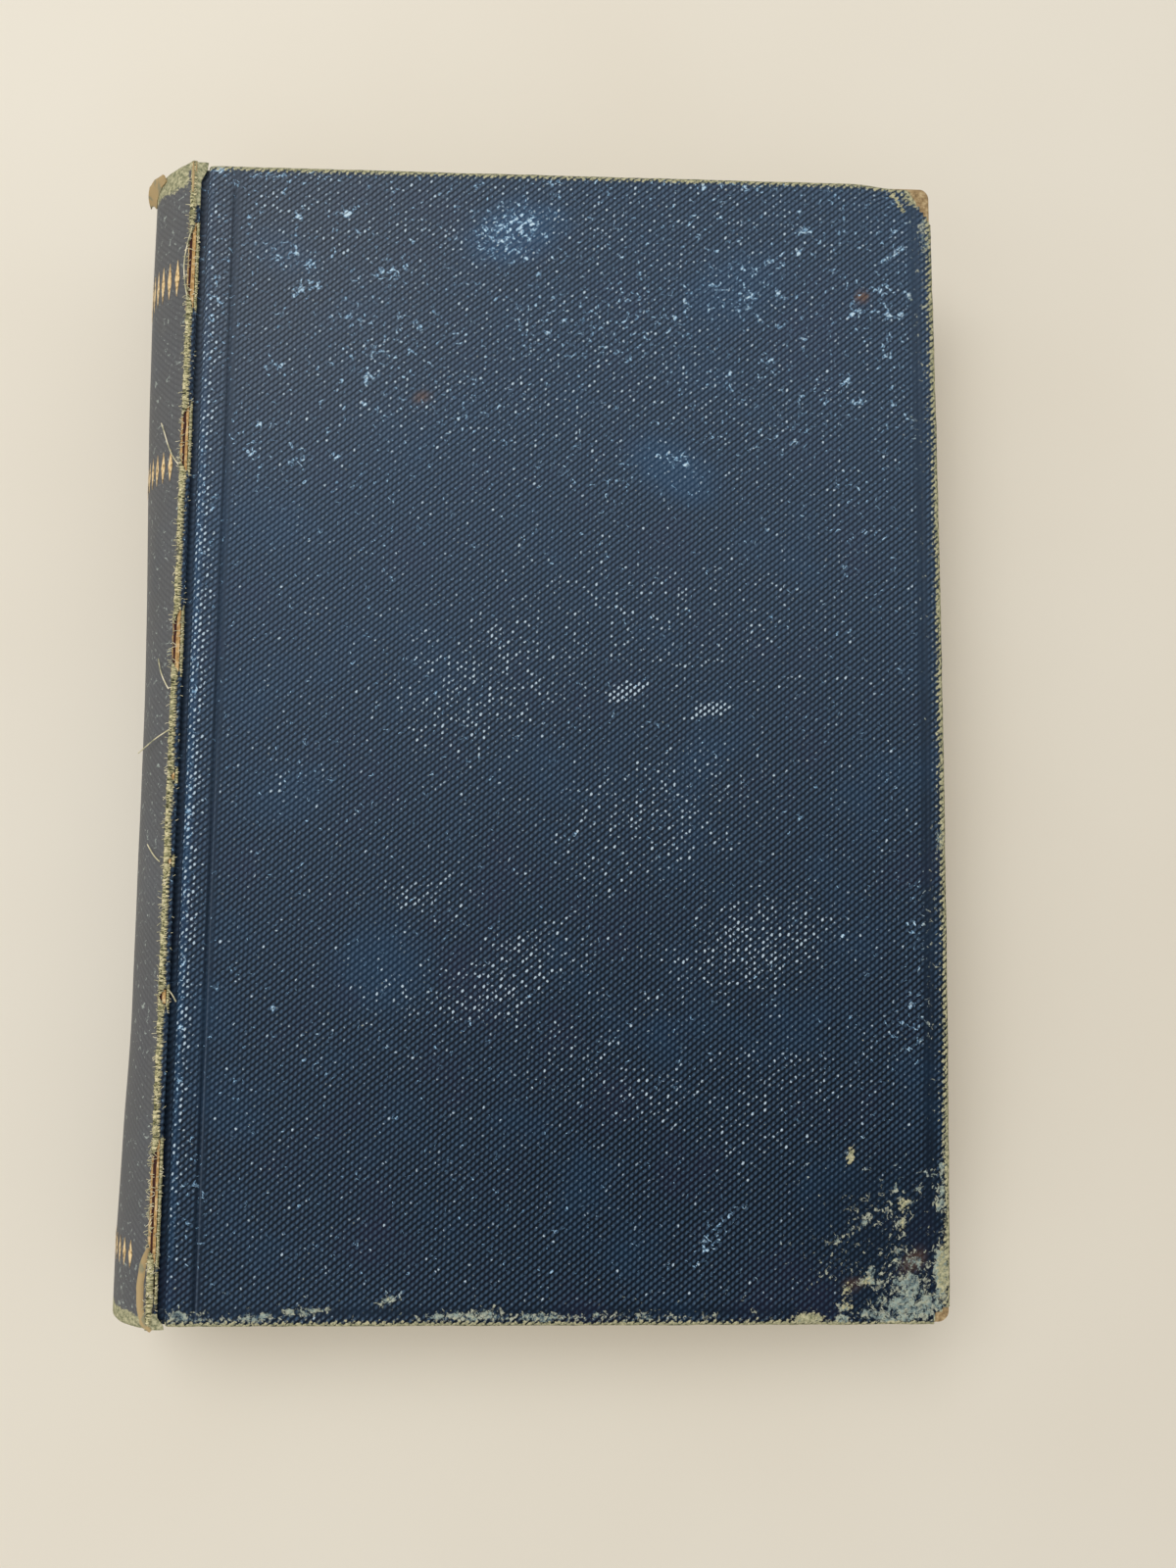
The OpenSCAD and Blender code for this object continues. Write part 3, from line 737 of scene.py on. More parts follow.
# Places where the dye has turned brown, and teal
rustPlaces = [
    (-22.7, 63.5, 1.6, 1.2, 20, 0.55), (63.7, 85.9, 1.2, 1.0, 0, 1.0), (71, -99, 2.5, 1.5, 40, 0.5),
    (60, -103, 1.6, 1.0, 0, 0.4),
]
tealPlaces = [
    (26, 50, 9, 5, -30, 1.0), (-64.4, 0, 0.8, 104, 0, 0.9), (-28, -46, 8, 8, 0, 0.5),
    (-46, -14, 8, 5, 20, 0.35), (-50, 92, 7, 4, -30, 0.6), (38, 87, 10, 7, 30, 0.6),
    (-5, 97.5, 9, 5.5, 20, 1.6),
]


def placed(places, x, y):
    # the strongest of the listed places at this point, with soft and ragged limits
    level = 0.0
    for cx, cy, rx, ry, turn, strength in places:
        c = math.cos(math.radians(turn))
        s = math.sin(math.radians(turn))
        u = ((x - cx) * c + (y - cy) * s) / rx
        v = ((y - cy) * c - (x - cx) * s) / ry
        d = math.hypot(u, v)
        if d < 1.9:
            d += 0.25 * wander(x * 0.35, y * 0.35)
            level = max(level, strength * (1 - smoothStep(0.35, 1.6, d)))
    return level


def arcPoints(x, z, r, turns):
    # points of an arc, one for each angle in degrees
    return [(x + r * math.cos(math.radians(a)), z + r * math.sin(math.radians(a))) for a in turns]


def jointSection():
    # the cover's section at the joint: the rolled torn edge, the groove, and the board's rounded edge
    shape = coverShape
    rollEnd = shape["rollX"] + shape["rollR"]
    section = [(-67.25, 34.80)]
    overTop = [180 - 22.5 * k for k in range(9)]
    section += arcPoints(shape["rollX"], shape["rollZ"], shape["rollR"], overTop)
    section.append((rollEnd - 0.01, 35.0))
    below = [180 + 18 * k for k in range(1, 10)]
    section += arcPoints(shape["grooveX"], shape["grooveZ"], shape["grooveR"], below)
    section.append((shape["boardEdge"], 34.97))
    r = shape["edgeRound"]
    section += arcPoints(shape["boardEdge"] + r, book["thick"] - r, r, overTop[:5])
    return section


rollCount, grooveCount = 10, 20  # the section's points on the torn edge, and those up to the board


def flatLines(start, end, step, wanted):
    # lines across a flat: evenly placed ones, and those wanted, which push the others away
    lines = [v for v in spread(start, end, step)[1:] if all(abs(v - w) > step / 2.4 for w in wanted)]
    return sorted(lines + [w for w in wanted if start < w < end])


def coverCloth(name, front):
    shape = coverShape
    top, under = book["thick"], shape["underZ"]
    tailTop = book["tailY"] + shape["edgeRound"]
    headTop = book["headY"] + shape["headOut"] - shape["edgeRound"]
    foreTop = book["foreX"] - shape["edgeRound"]
    # the lines of the grid turn from flat to round within a square at each corner
    square = shape["cornerRound"] - shape["edgeRound"]
    tailFlat, headFlat, foreFlat = tailTop + square, headTop - square, foreTop - square
    squareSteps = [square * part / 3 for part in (1, 2, 3)]
    rimSteps = [0.34, 0.67, 1.0, 1.5, 2.0, 2.33, 2.67, 3.0]
    underSteps = [0.7, 1.4, square, 4.0, 7.0, 10.5, shape["turnIn"] - shape["edgeRound"]]
    section = jointSection()
    flatStart = section[-1][0]

    # more lines at the pressed lines and in the worn places
    cuts = {"x": [], "y": []}
    finePlaces = {
        "x": spread(70.5, foreFlat, shape["fineStep"]) + spread(flatStart, -61.2, shape["fineStep"])[1:],
        "y": spread(100.0, headFlat, shape["fineStep"]),
    }
    if front:
        finePlaces["y"] += spread(45.0, 100.0, shape["scuffStep"])
        for axis, at, _, before, after, _, _ in pressedLines.values():
            cuts[axis] += [at - before * part for part in (1.35, 1.0, 0.7, 0.35)]
            cuts[axis] += [at + after * part for part in (0.0, 0.3, 0.55, 0.75, 1.0, 1.35)]
    for axis, fine in finePlaces.items():
        cuts[axis] += [v for v in fine if all(abs(v - w) > 0.2 for w in cuts[axis])]

    flatStep = shape["frontStep"] if front else shape["backStep"]
    outer = [("square", k) for k in range(4)]
    outer += [("rim", q) for q in rimSteps] + [("under", d) for d in underSteps]
    rankOf = {code: rank for rank, code in enumerate(outer)}
    across = [("joint", k) for k in range(len(section))]
    across += [("top", v) for v in flatLines(flatStart, foreFlat, flatStep, cuts["x"])] + outer
    along = [(kind, -float(value)) for kind, value in reversed(outer)]
    along += [("top", v) for v in flatLines(tailFlat, headFlat, flatStep, cuts["y"])] + outer

    def reach(code, height):
        # distance beyond the flat, drop below the face, and way gone along the cloth
        kind, value = code
        r = min(shape["edgeRound"], height / 2)
        quarter, straight = r * math.pi / 2, height - 2 * r
        if kind == "square":
            return squareSteps[value - 1], 0.0, squareSteps[value - 1]
        if kind == "under":
            out, down, gone = -value, height, 2 * quarter + straight + value
        elif value <= 1:
            turn = value * math.pi / 2
            out, down, gone = r * math.sin(turn), r * (1 - math.cos(turn)), r * turn
        elif value <= 2:
            out, down, gone = r, r + straight * (value - 1), quarter + straight * (value - 1)
        else:
            turn = (value - 2) * math.pi / 2
            out, down = r * math.cos(turn), height - r * (1 - math.sin(turn))
            gone = quarter * (value - 1) + straight
        return square + out, down, square + gone

    def place(a, b):
        kindA, valueA = a
        kindB, valueB = b
        side = 1 if kindB == "top" else math.copysign(1, valueB)
        if kindA == "joint":
            x, z = section[valueA]
            if valueA >= rollCount:
                nearEnd = abs(valueB + 0.5) if kindB == "top" else 109.0
                z += max(0.0, 34.5 - z) * smoothStep(105.5, 109.5, nearEnd)
        elif kindA == "top":
            x, z = valueA, top
        else:
            x, z = foreFlat, top
        if kindB == "top":
            y = valueB
        else:
            y = headFlat if side > 0 else tailFlat
        flatU, flatV = x, y
        edgeA = edgeB = 0
        drop = 0.0
        stepA = rankOf.get(a, 0)
        stepB = rankOf.get((kindB, abs(valueB)), 0)
        if stepA and stepB:
            # at a corner both wraps meet on the diagonal
            edgeA = edgeB = max(stepA, stepB)
            out, drop, _ = reach(outer[edgeA], top - under)
            part = min(stepA, stepB) / edgeA * math.pi / 4
            if stepB > stepA:
                part = math.pi / 2 - part
            if out < 0:
                x += out
                y += side * out
            else:
                x += out * math.cos(part)
                y += side * out * math.sin(part)
            flatU = foreFlat + reach(outer[stepA], top - under)[2]
            flatV += side * reach(outer[stepB], top - under)[2]
        elif stepA:
            edgeA = stepA
            out, drop, gone = reach(outer[stepA], top - under)
            x += out
            flatU = foreFlat + gone
            if out < 0:
                y = max(tailFlat - out, min(headFlat + out, y))
        elif stepB:
            edgeB = stepB
            out, drop, gone = reach(outer[stepB], max(0.5, z - under))
            y += side * out
            flatV += side * gone
            if out < 0:
                x = min(x, foreFlat + out)
        z -= drop

        note = wearHere(x, y, z, a, edgeA, edgeB)
        if kindA == "joint":
            flatU = x - (top - z) * 0.5
        # the back is cut from another part of the cloth
        note["clothPlace"] = (flatU, flatV, 0.0) if front else (flatU + 400.0, flatV + 37.0, 0.0)

        onFace = kindA in ("joint", "top", "square") and kindB in ("top", "square")
        if front and onFace:
            for axis, at, depth, before, after, start, end in pressedLines.values():
                off, way = (x - at, y) if axis == "x" else (y - at, x)
                half = before if off < 0 else after
                if abs(off) < half:
                    ends = smoothStep(*start, way) * smoothStep(*end, way)
                    z -= depth * ends * (0.5 + 0.5 * math.cos(math.pi * off / half))
        if front and side > 0:
            # the edge dips towards the broken corner at the head
            y -= shape["cornerDip"] * smoothStep(62, 72, x) * smoothStep(103, 109, y)
        # the fore-edge is bowed, and no edge or face is quite true
        x += shape["bow"] * smoothStep(40, 78, x) * (1 - (y / 109) ** 2 - 0.35)
        lump = 0.10 * wander(x * 0.25, y * 0.25, z) + 0.05 * wander(x * 1.1, y * 1.1, z)
        if drop < 3.4:
            x += lump if edgeA > 3 else 0.0
            y += lump if edgeB > 3 else 0.0
        if onFace and kindA != "joint":
            z += 0.05 * wander(x * 0.05, y * 0.05, 3.0) + 0.015 * wander(x * 0.4, y * 0.4, 5.0)
        if kindA == "joint" and valueA < rollCount:
            # the torn edge of the cloth is ragged, and lies lower where it has parted
            parted = smoothStep(0, 1, tearWidth(y) if front else 0)
            z -= 0.03 + 0.08 * wander(x * 2, y * 0.9, 1.0) + 0.10 * parted
            x += 0.05 * wander(x * 2, y * 1.3, 9.0)
        return (x, y, z if front else top - z), note

    def wearHere(x, y, z, a, edgeA, edgeB):
        # how rubbed, scuffed, chalky and frayed the cloth is at this point
        if max(edgeA, edgeB) > 3:
            # the upper rim is rubbed most, and the middle of the edge least
            rubbed = 0.56
            if z > 34.9:
                rubbed = 0.70
            elif z > 33.2:
                rubbed = 0.42
            if edgeA > 3 and edgeB <= 3 or y > 0 and x > -20:
                rubbed -= 0.08
        else:
            gaps = ((0.50, foreTop - x, 0.8), (0.50, headTop - y, 0.45), (0.38, y - tailTop, 0.6))
            rubbed = max(most * math.exp(-max(0.0, gap) / width) for most, gap, width in gaps)
        rubbed *= 0.62 + 0.6 * (0.5 + 0.5 * wander(x * 0.12, y * 0.12, 11.0))
        # the corners, the ends of the joint, and the crease that runs to the open corner at the head
        tailCorner = math.hypot(78 - x, y + 110.5)
        headCorner = math.hypot(76 - x, 108.5 - y)
        foot = min(math.hypot(x + 66, y - 109.8), math.hypot(x + 66, y + 110.5))
        rubbed = max(
            rubbed, 1.0 - smoothStep(1.5, 5.0, tailCorner), 0.6 - 0.6 * smoothStep(2.0, 6.0, headCorner),
            0.9 - smoothStep(0.3, 2.6, foot),
        )
        if 103.5 < y < 108.8:
            crease = abs((x - 70.3) * 0.91 + (y - 108.5) * 0.415)
            rubbed = max(rubbed, 0.75 - smoothStep(0.1, 0.7, crease))
        if front and y < -75:
            rubbed = max(rubbed, placed(strawPlaces, x, y))
        if z < 32.6:
            rubbed = 0.1 + 0.5 * rubbed

        strength = 1.0 if front else 0.45
        mirrored = x if front else 5 - x
        hazeAndHighlight = fade = 0.1
        fray = pressed = bare = 0.0
        if front:
            # painted highlight: the front is painted lighter and greyer towards the head and the spine
            # side, where the lamp's glare lies, and its flecks grow thicker towards the head; the small
            # base levels are real fading and wear
            hazeAndHighlight += 0.22 * smoothStep(0, 95, y)
            fade = 0.04 + 0.52 * smoothStep(-95, 100, y) + 0.12 * smoothStep(20, -60, x)
            corner = smoothStep(35, 55, x) * smoothStep(-72, -88, y)
            bare = max(corner, smoothStep(-103, -106, y), smoothStep(72, 75, x))
            # the pressed lines and the worn corner are glossy and flat
            first = x - pressedLines["joint"][1]
            pressed = max(
                0.7 * smoothStep(42, 66, x) * smoothStep(-72, -92, y),
                0.85 * smoothStep(-0.55, -0.35, first) * smoothStep(1.9, 0.9, first),
                0.85 * smoothStep(1.3, 0.8, abs(x - pressedLines["fore"][1] + 0.2)),
                0.7 * smoothStep(1.0, 0.5, abs(y - pressedLines["tail"][1])),
            )
            # painted highlight: a pale line on the lit right wall of the joint's pressed line, in its
            # lower part
            pale = smoothStep(0.32, 0.12, abs(first - 0.55))
            fade = max(fade, 0.62 * pale * smoothStep(30, -20, y + 25 * wander(0.0, y * 0.06, 3.0)))
        if front and a[0] == "joint":
            if a[1] < rollCount:
                torn = max(tearWidth(y + step) for step in (-0.8, 0.0, 0.8))
                fray = 0.15 + 0.65 * smoothStep(0.0, 0.5, torn)
            elif a[1] < grooveCount:
                pressed = max(pressed, 0.8)
                rubbed *= 0.4
        return clothNote(
            (0.0, 0.0, 0.0), rubbed=rubbed, fray=fray, fade=fade, bare=bare, pressed=pressed,
            scuff=max(hazeAndHighlight, placed(scuffPlaces, mirrored, y) * strength),
            chalk=placed(chalkPlaces, mirrored, y) * strength,
            rust=placed(rustPlaces, x, y) * strength,
            teal=placed(tealPlaces, x, y) * strength,
        )

    sheet = wrapSheet(name, across, along, place, flip=not front)
    openCorners(sheet, front)
    thicken(sheet, shape["clothThick"])
    smooth(sheet, shape["smoothTurn"])
    return sheet


def cornerIsOpen(x, y):
    # where the cloth is gone: a ragged triangle at the head, and the tip at the tail
    ragged = 0.35 * wander(x * 1.7, y * 1.7, 2.0)
    if y > 0:
        limit = 77.3 - (y - 101.5) * 0.56 if y < 104.2 else 75.8 - (y - 104.2) * 0.66
        return y > 101.3 + ragged and x > limit + ragged
    return math.hypot(x - 77.6, y + 110.1) < 3.1 + ragged * 1.6


def openCorners(sheet, front):
    # the board shows at the two fore-edge corners
    editAll(sheet, "FACE")
    bpy.ops.mesh.select_all(action="DESELECT")
    objectMode()
    for face in sheet.data.polygons:
        c = face.center / mm
        depth = book["thick"] - c.z if front else c.z
        if c.x > 68 and depth < 3.0:
            face.select = cornerIsOpen(c.x, c.y if front else -c.y)
    bpy.ops.object.mode_set(mode="EDIT")
    bpy.ops.mesh.delete(type="FACE")
    objectMode()


frontCloth = coverCloth("frontCoverCloth", True)
finishPiece(frontCloth, clothMaterial, "front_cover", ["front_cloth"])
backCloth = coverCloth("backCoverCloth", False)
finishPiece(backCloth, clothMaterial, "back_cover", ["back_cloth"])
print("stage: cover cloth")


# Cloth of the spine

spineShape = {
    "arcHalf": 54.0,
    "ridgeStart": -20.0,
    "ridgeEnd": 150.0,
    "ridgeDepth": 0.75,
    "foldDepth": 1.5,
    "turnIn": 15.0,
    "clothThick": 0.34,
    "tailDrop": 1.1,
    "flareTail": 1.4,
    "flareHead": 2.0,
    "lineStep": 0.8,
}


def spinePoint(angle, y, r):
    # a point of the arc; the spine has slumped, and stands out more towards its two ends
    t = math.radians(angle)
    bulge = math.cos(math.radians(min(90, abs(angle) * 1.6)))
    x, z = book["spineX"] - r * math.cos(t), midZ + r * math.sin(t)
    flareTail = spineShape["flareTail"] * smoothStep(-50, -108, y)
    flareHead = spineShape["flareHead"] * smoothStep(-5, 85, y)
    x -= bulge * (flareTail + flareHead)
    x += 0.10 * bulge * wander(y * 0.06, 7.0)
    return x, z


def spineSection():
    # stations round the spine: the front ridge, the arc, and the back ridge
    ridge = [("ridge", k / 12) for k in range(13)]
    half = spineShape["arcHalf"]
    arc = [("arc", half - 2 * half * k / 46) for k in range(1, 46)]
    return ridge + arc + [("backRidge", part) for _, part in reversed(ridge)]


def spineCloth():
    shape = spineShape
    half = shape["foldDepth"] / 2
    headTop = book["spineHeadY"] - half
    tailTop = book["spineTailY"] + half
    folds = [k / 8 for k in range(1, 9)]
    unders = [1.0, 3.5, 8.0, shape["turnIn"] - half]
    along = [("under", -d) for d in reversed(unders)] + [("fold", -q) for q in reversed(folds)]
    along += [("top", v) for v in spread(tailTop, headTop, shape["lineStep"])] + [("top", headTop)]
    along += [("fold", q) for q in folds] + [("under", d) for d in unders]

    def place(a, b):
        kind, value = a
        kindB, valueB = b
        side = 1 if valueB > 0 else -1
        y = valueB if kindB == "top" else (headTop if side > 0 else tailTop)
        fray = rubbed = 0.0
        depth = shape["foldDepth"]
        if kind == "arc":
            t = math.radians(value)
            r = book["spineR"] - 0.10 * math.exp(-((abs(value) - 53) / 2.2) ** 2)
            x, z = spinePoint(value, y, r)
            inX, inZ = math.cos(t), -math.sin(t)
            depth -= 0.5 * smoothStep(45, shape["arcHalf"], abs(value))
            flat = -r * t
        else:
            # the ridge of the front joint is cut back where the cloth has parted
            start, end = shape["ridgeStart"], shape["ridgeEnd"]
            if kind == "ridge":
                width = min(1.0, tearWidth(y) / 0.85)
                start += 9 * wander(3.0, y * 1.1) + width * (150 + 12 * wander(5.0, y * 1.7))
            t = math.radians(start + (end - start) * value)
            r = book["ridgeR"] + 0.07 * wander(y * 0.9, 6.0) + 0.05 * wander(y * 2.3, 9.0)
            x, z = book["ridgeX"] + r * math.cos(t), book["ridgeZ"] + r * math.sin(t)
            inX, inZ = -math.cos(t), -math.sin(t)
            depth = shape["ridgeDepth"]
            flat = -book["spineR"] * math.radians(shape["arcHalf"])
            flat -= book["ridgeR"] * (math.radians(end) - t)
            if kind == "ridge":
                fray = 0.70 * smoothStep(14, 50, math.degrees(t) + 14 * wander(y * 0.7, 2.0))
                fray -= 0.18 * smoothStep(0.1, 0.5, wander(y * 0.11, 14.0))
                fray *= 1 - 0.55 * smoothStep(105, 140, math.degrees(t) + 22 * wander(y * 0.8, 21.0))
                rubbed = 0.30 * smoothStep(20, 60, math.degrees(t))
            else:
                rubbed = 0.4 * smoothStep(150, 80, math.degrees(t))
        gone = 0.0
        if kindB == "fold":
            turn = abs(valueB) * math.pi
            r = depth / 2
            y += side * r * math.sin(turn) + side * (half - r) * min(1.0, abs(valueB) * 2)
            x += inX * r * (1 - math.cos(turn))
            z += inZ * r * (1 - math.cos(turn))
            gone = r * turn
        elif kindB == "under":
            y -= side * abs(valueB)
            x += inX * depth
            z += inZ * depth
            gone = depth * math.pi / 2 + abs(valueB)
        if kind == "arc":
            drop = shape["tailDrop"] * math.cos(math.radians(min(90, abs(value) * 1.5)))
            y -= drop * smoothStep(-104, -110, y)
        if kind == "backRidge":
            z = book["thick"] - z
            flat = -flat
        # the two ends are rubbed pale
        endGap = min(book["spineHeadY"] - y, y - book["spineTailY"])
        rag = 0.5 + 0.5 * wander(flat * 0.35, y * 0.35, 4.0)
        wornEnd = 1.6 + 2.2 * smoothStep(5, 50, value) if y > 0 and kind == "arc" else 0.0
        rubbed = max(rubbed, 0.92 - smoothStep(0.7 + wornEnd * 0.5, 2.4 + 2.4 * rag + wornEnd, endGap))
        if kindB == "fold":
            rubbed = max(rubbed, 0.85)
        if kind == "arc" and value > 50:
            fray = 0.24 * smoothStep(50, shape["arcHalf"], value + 2.0 * wander(y * 0.8, 5.0))
        if kindB != "top":
            x += 0.05 * wander(flat * 0.8, y, 1.0)
            y += side * 0.12 * wander(flat * 0.35, 8.0 * side, 2.0)
        note = clothNote(
            (flat - 90.0, y + side * gone, 0.0), rubbed=rubbed, fray=fray, chalk=0.1, bare=0.8,
            scuff=0.35 + 0.4 * max(0.0, wander(flat * 0.1, y * 0.05, 6.0)), pressed=1.12,
            fade=0.92 + 0.08 * wander(flat * 0.15, y * 0.05, 2.0),
        )
        return (x, y, z), note

    sheet = wrapSheet("spineCloth", spineSection(), along, place, flip=True)
    thicken(sheet, shape["clothThick"])
    smooth(sheet, 50)
    return sheet


finishPiece(spineCloth(), clothMaterial, "pages_and_spine", ["spine_cloth"])
print("stage: spine cloth")


# Cloth that still crosses the joints

jointValues = {
    "centre": -67.2,
    "rowStep": 0.7,
    "thick": 0.2,
    "backEnds": (109.6, -110.4),
}
# The strip's section, from the ridge to the lip of the cover
jointProfile = [
    (-68.2, 35.55), (-67.95, 35.63), (-67.7, 35.60), (-67.5, 35.55), (-67.38, 35.52), (-67.27, 35.50),
    (-67.16, 35.50), (-67.05, 35.52), (-66.94, 35.52), (-66.84, 35.48), (-66.74, 35.36),
]


def jointStrip(name, upper, lower, front, seed):
    # a strip across the joint, drawn out thin at its two ends where it has torn
    rows = spread(lower, upper, jointValues["rowStep"]) + [upper]
    centre = jointValues["centre"]
    foot = front and upper < -105
    cap = front and upper > 105

    def place(a, y):
        x, z = jointProfile[a]
        outside = x > centre
        wide, worn = 1.0, 0.0
        if foot:
            wide, worn = 1.15 + (3.0 if outside else 0.35) * smoothStep(-108.4, -110.8, y), 1.0
        elif cap:
            wide = 1.0 + (2.8 if outside else 0.2) * smoothStep(106.0, 109.8, y)
            worn = 0.9 * smoothStep(99.5, 103.5, y)
        elif front:
            endGap = min(upper - y, y - lower) + 0.6 * wander(seed, y * 1.5)
            wide = 0.35 + 0.65 * smoothStep(0.0, 3.0, endGap)
        x = centre + (x - centre) * wide
        if a in (0, len(jointProfile) - 1):
            x += 0.10 * wander(seed + a, y * 1.4)
        z += 0.03 * wander(a * 0.7, y * 1.2, seed)
        rubbed, fray = 0.3, 0.1
        if front:
            rubbed, fray = max(worn, 0.32 - 0.03 * a), 0.66 - 0.06 * a
        note = clothNote((x - 3.0, y, 0.0), rubbed=rubbed, fray=fray, scuff=0.2, fade=0.25, pressed=0.4)
        return (x, y, z if front else book["thick"] - z), note

    strip = wrapSheet(name, range(len(jointProfile)), rows, place, flip=not front)
    thicken(strip, jointValues["thick"])
    smooth(strip, 60)
    return strip


# Where the cloth of the front joint has held: upper and lower end of each place
bridges = [
    (110.4, 98.0), (80.6, 61.0), (48.0, 20.8), (9.0, -9.6),
    (-12.3, -25.7), (-27.9, -49.9), (-53.6, -76.8), (-108.2, -111.0),
]
bridgeParts = [jointStrip(f"bridge{n}", *ends, True, n * 3.1) for n, ends in enumerate(bridges)]
frontJoint = joinParts(bridgeParts, "frontJointCloth")
finishPiece(frontJoint, clothMaterial, None)
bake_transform(frontJoint)
backJoint = jointStrip("backJointCloth", *jointValues["backEnds"], False, 50.0)
finishPiece(backJoint, clothMaterial, None)
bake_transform(backJoint)
print("stage: joint cloth")


# Pages

pageShape = {
    "tailY": -107.0,
    "headY": 106.0,
    "foreX": 74.5,
    "hollow": 5.0,
    "backR": 18.57,
    "halfThick": 13.85,
    "flange": 3.2,
    "leafStep": 0.2,
    "sectionLevels": 18,
}


def pageBlock():
    # leaf by leaf: every level of the stack is a loop of its own, a little in or out of line
    shape = pageShape
    rng = random.Random(7)
    low, high = midZ - shape["halfThick"], midZ + shape["halfThick"]
    hollowHalf = shape["halfThick"] - 0.3
    hollowR = (hollowHalf ** 2 + shape["hollow"] ** 2) / (2 * shape["hollow"])
    levels = []

    def foreAt(z):
        dz = min(abs(z - midZ), hollowHalf)
        return shape["foreX"] - shape["hollow"] + hollowR - math.sqrt(hollowR ** 2 - dz ** 2)

    def backAt(z):
        dz = min(abs(z - midZ), shape["backR"] * math.sin(math.radians(50)))
        return book["spineX"] - math.sqrt(shape["backR"] ** 2 - dz ** 2)

    def shoulderLevels(side):
        # the thin ridge of the outer leaves, bent outwards behind the boards
        found = []
        for part in range(9):
            rise = shape["flange"] * part / 8
            z = midZ + side * (shape["halfThick"] + rise)
            left = -69.0 + 0.55 * smoothStep(0.4, 2.7, rise) + 0.25 * smoothStep(2.7, 3.2, rise)
            right = -67.32 - 0.50 * smoothStep(0.0, 2.8, rise) - 0.30 * smoothStep(2.7, 3.2, rise)
            found.append((z, left, right, 0.0, 0.0, False))
        return found

    # each sewn section stands a little in or out, and its leaves do so round it
    section = 0.0
    for number, z in enumerate(spread(low, high, shape["leafStep"]) + [high]):
        if number % shape["sectionLevels"] == 0:
            section = rng.uniform(-0.10, 0.10)
        foreShift = section + rng.uniform(-0.09, 0.09)
        tailShift = section * 0.5 + rng.uniform(-0.07, 0.07)
        headShift = section * 0.4 + rng.uniform(-0.07, 0.07)
        levels.append((z, backAt(z), foreAt(z) + foreShift, tailShift, headShift, True))
    levels = shoulderLevels(-1)[::-1] + levels + shoulderLevels(1)

    # one loop: tail edge, fore-edge, head edge and back
    loop = [("tail", k / 24) for k in range(24)] + [("fore", k / 36) for k in range(36)]
    loop += [("head", k / 24) for k in range(24)] + [("back", k / 16) for k in range(17)]

    def place(a, b):
        kind, part = a
        z, x0, x1, tailShift, headShift, isLeaf = b
        y0, y1 = shape["tailY"] + tailShift, shape["headY"] + headShift
        x, y = {
            "tail": (x0 + (x1 - x0) * part, y0),
            "fore": (x1, y0 + (y1 - y0) * part),
            "head": (x1 - (x1 - x0) * part, y1),
            "back": (x0, y1 - (y1 - y0) * part),
        }[kind]
        wave = 0.10 * wander(x * 0.03, y * 0.03, z * 1.7)
        if isLeaf and kind == "fore":
            x += wave
        elif isLeaf and (kind == "head" or kind == "tail" and part > 0):
            y += wave * 0.7
        return (x, y, z), {}

    block = wrapSheet("pageBlock", loop, levels, place)
    editAll(block)
    bpy.ops.mesh.select_all(action="DESELECT")
    bpy.ops.mesh.select_mode(type="EDGE")
    bpy.ops.mesh.select_non_manifold()
    bpy.ops.mesh.fill_holes(sides=0)
    bpy.ops.mesh.select_all(action="SELECT")
    bpy.ops.mesh.normals_make_consistent(inside=False)
    objectMode()
    smooth(block, 25)
    return block


finishPiece(pageBlock(), pageMaterial, "pages_and_spine", ["text_block"])
print("stage: pages")


# Folds of the endpapers

foldValues = {
    "x": -66.75,
    "z": 31.86,
    "rise": 0.62,
    "tailY": -106.5,
    "headY": 105.5,
    "rowStep": 7.0,
    "thick": 0.16,
}


def endpaperFold(name, front):
    # the fold between the pasted and the loose half
    rows = spread(foldValues["tailY"], foldValues["headY"], foldValues["rowStep"]) + [foldValues["headY"]]

    def place(a, y):
        x = foldValues["x"] + 0.02 * wander(y * 0.1, a)
        z = foldValues["z"] + foldValues["rise"] * a / 16
        return (x, y, z if front else book["thick"] - z), {}

    fold = wrapSheet(name, range(17), rows, place, flip=front)
    thicken(fold, foldValues["thick"], 0)
    smooth(fold, 60)
    return fold


frontFold = endpaperFold("frontEndpaperFold", True)
finishPiece(frontFold, endpaperMaterial, None)
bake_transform(frontFold)
backFold = endpaperFold("backEndpaperFold", False)
finishPiece(backFold, endpaperMaterial, None)
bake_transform(backFold)
print("stage: endpaper folds")


# Frayed threads

fringeValues = {
    "countSpine": 760,
    "countCover": 300,
    "endGap": 0.5,
    "coverShare": 0.7,
    "radius": 0.055,
    "length": (0.3, 0.95),
    "shapes": 6,
}


def threadShape(name, points, radius):
    # one thread: a three-sided tube through the points
    bpy.ops.object.select_all(action="DESELECT")
    bpy.ops.curve.primitive_bezier_curve_add()
    line = bpy.context.object
    line.name = name
    curve = line.data
    curve.splines.clear()
    spline = curve.splines.new("NURBS")
    spline.points.add(len(points) - 1)
    for control, point in zip(spline.points, points):
        control.co = (*(Vector(point) * mm), 1.0)
    spline.use_endpoint_u = True
    spline.order_u = 3
    curve.resolution_u = 3
    curve.bevel_depth = radius * mm
    curve.bevel_resolution = 0
    curve.use_fill_caps = True
    bpy.ops.object.convert(target="MESH")
    return bpy.context.object


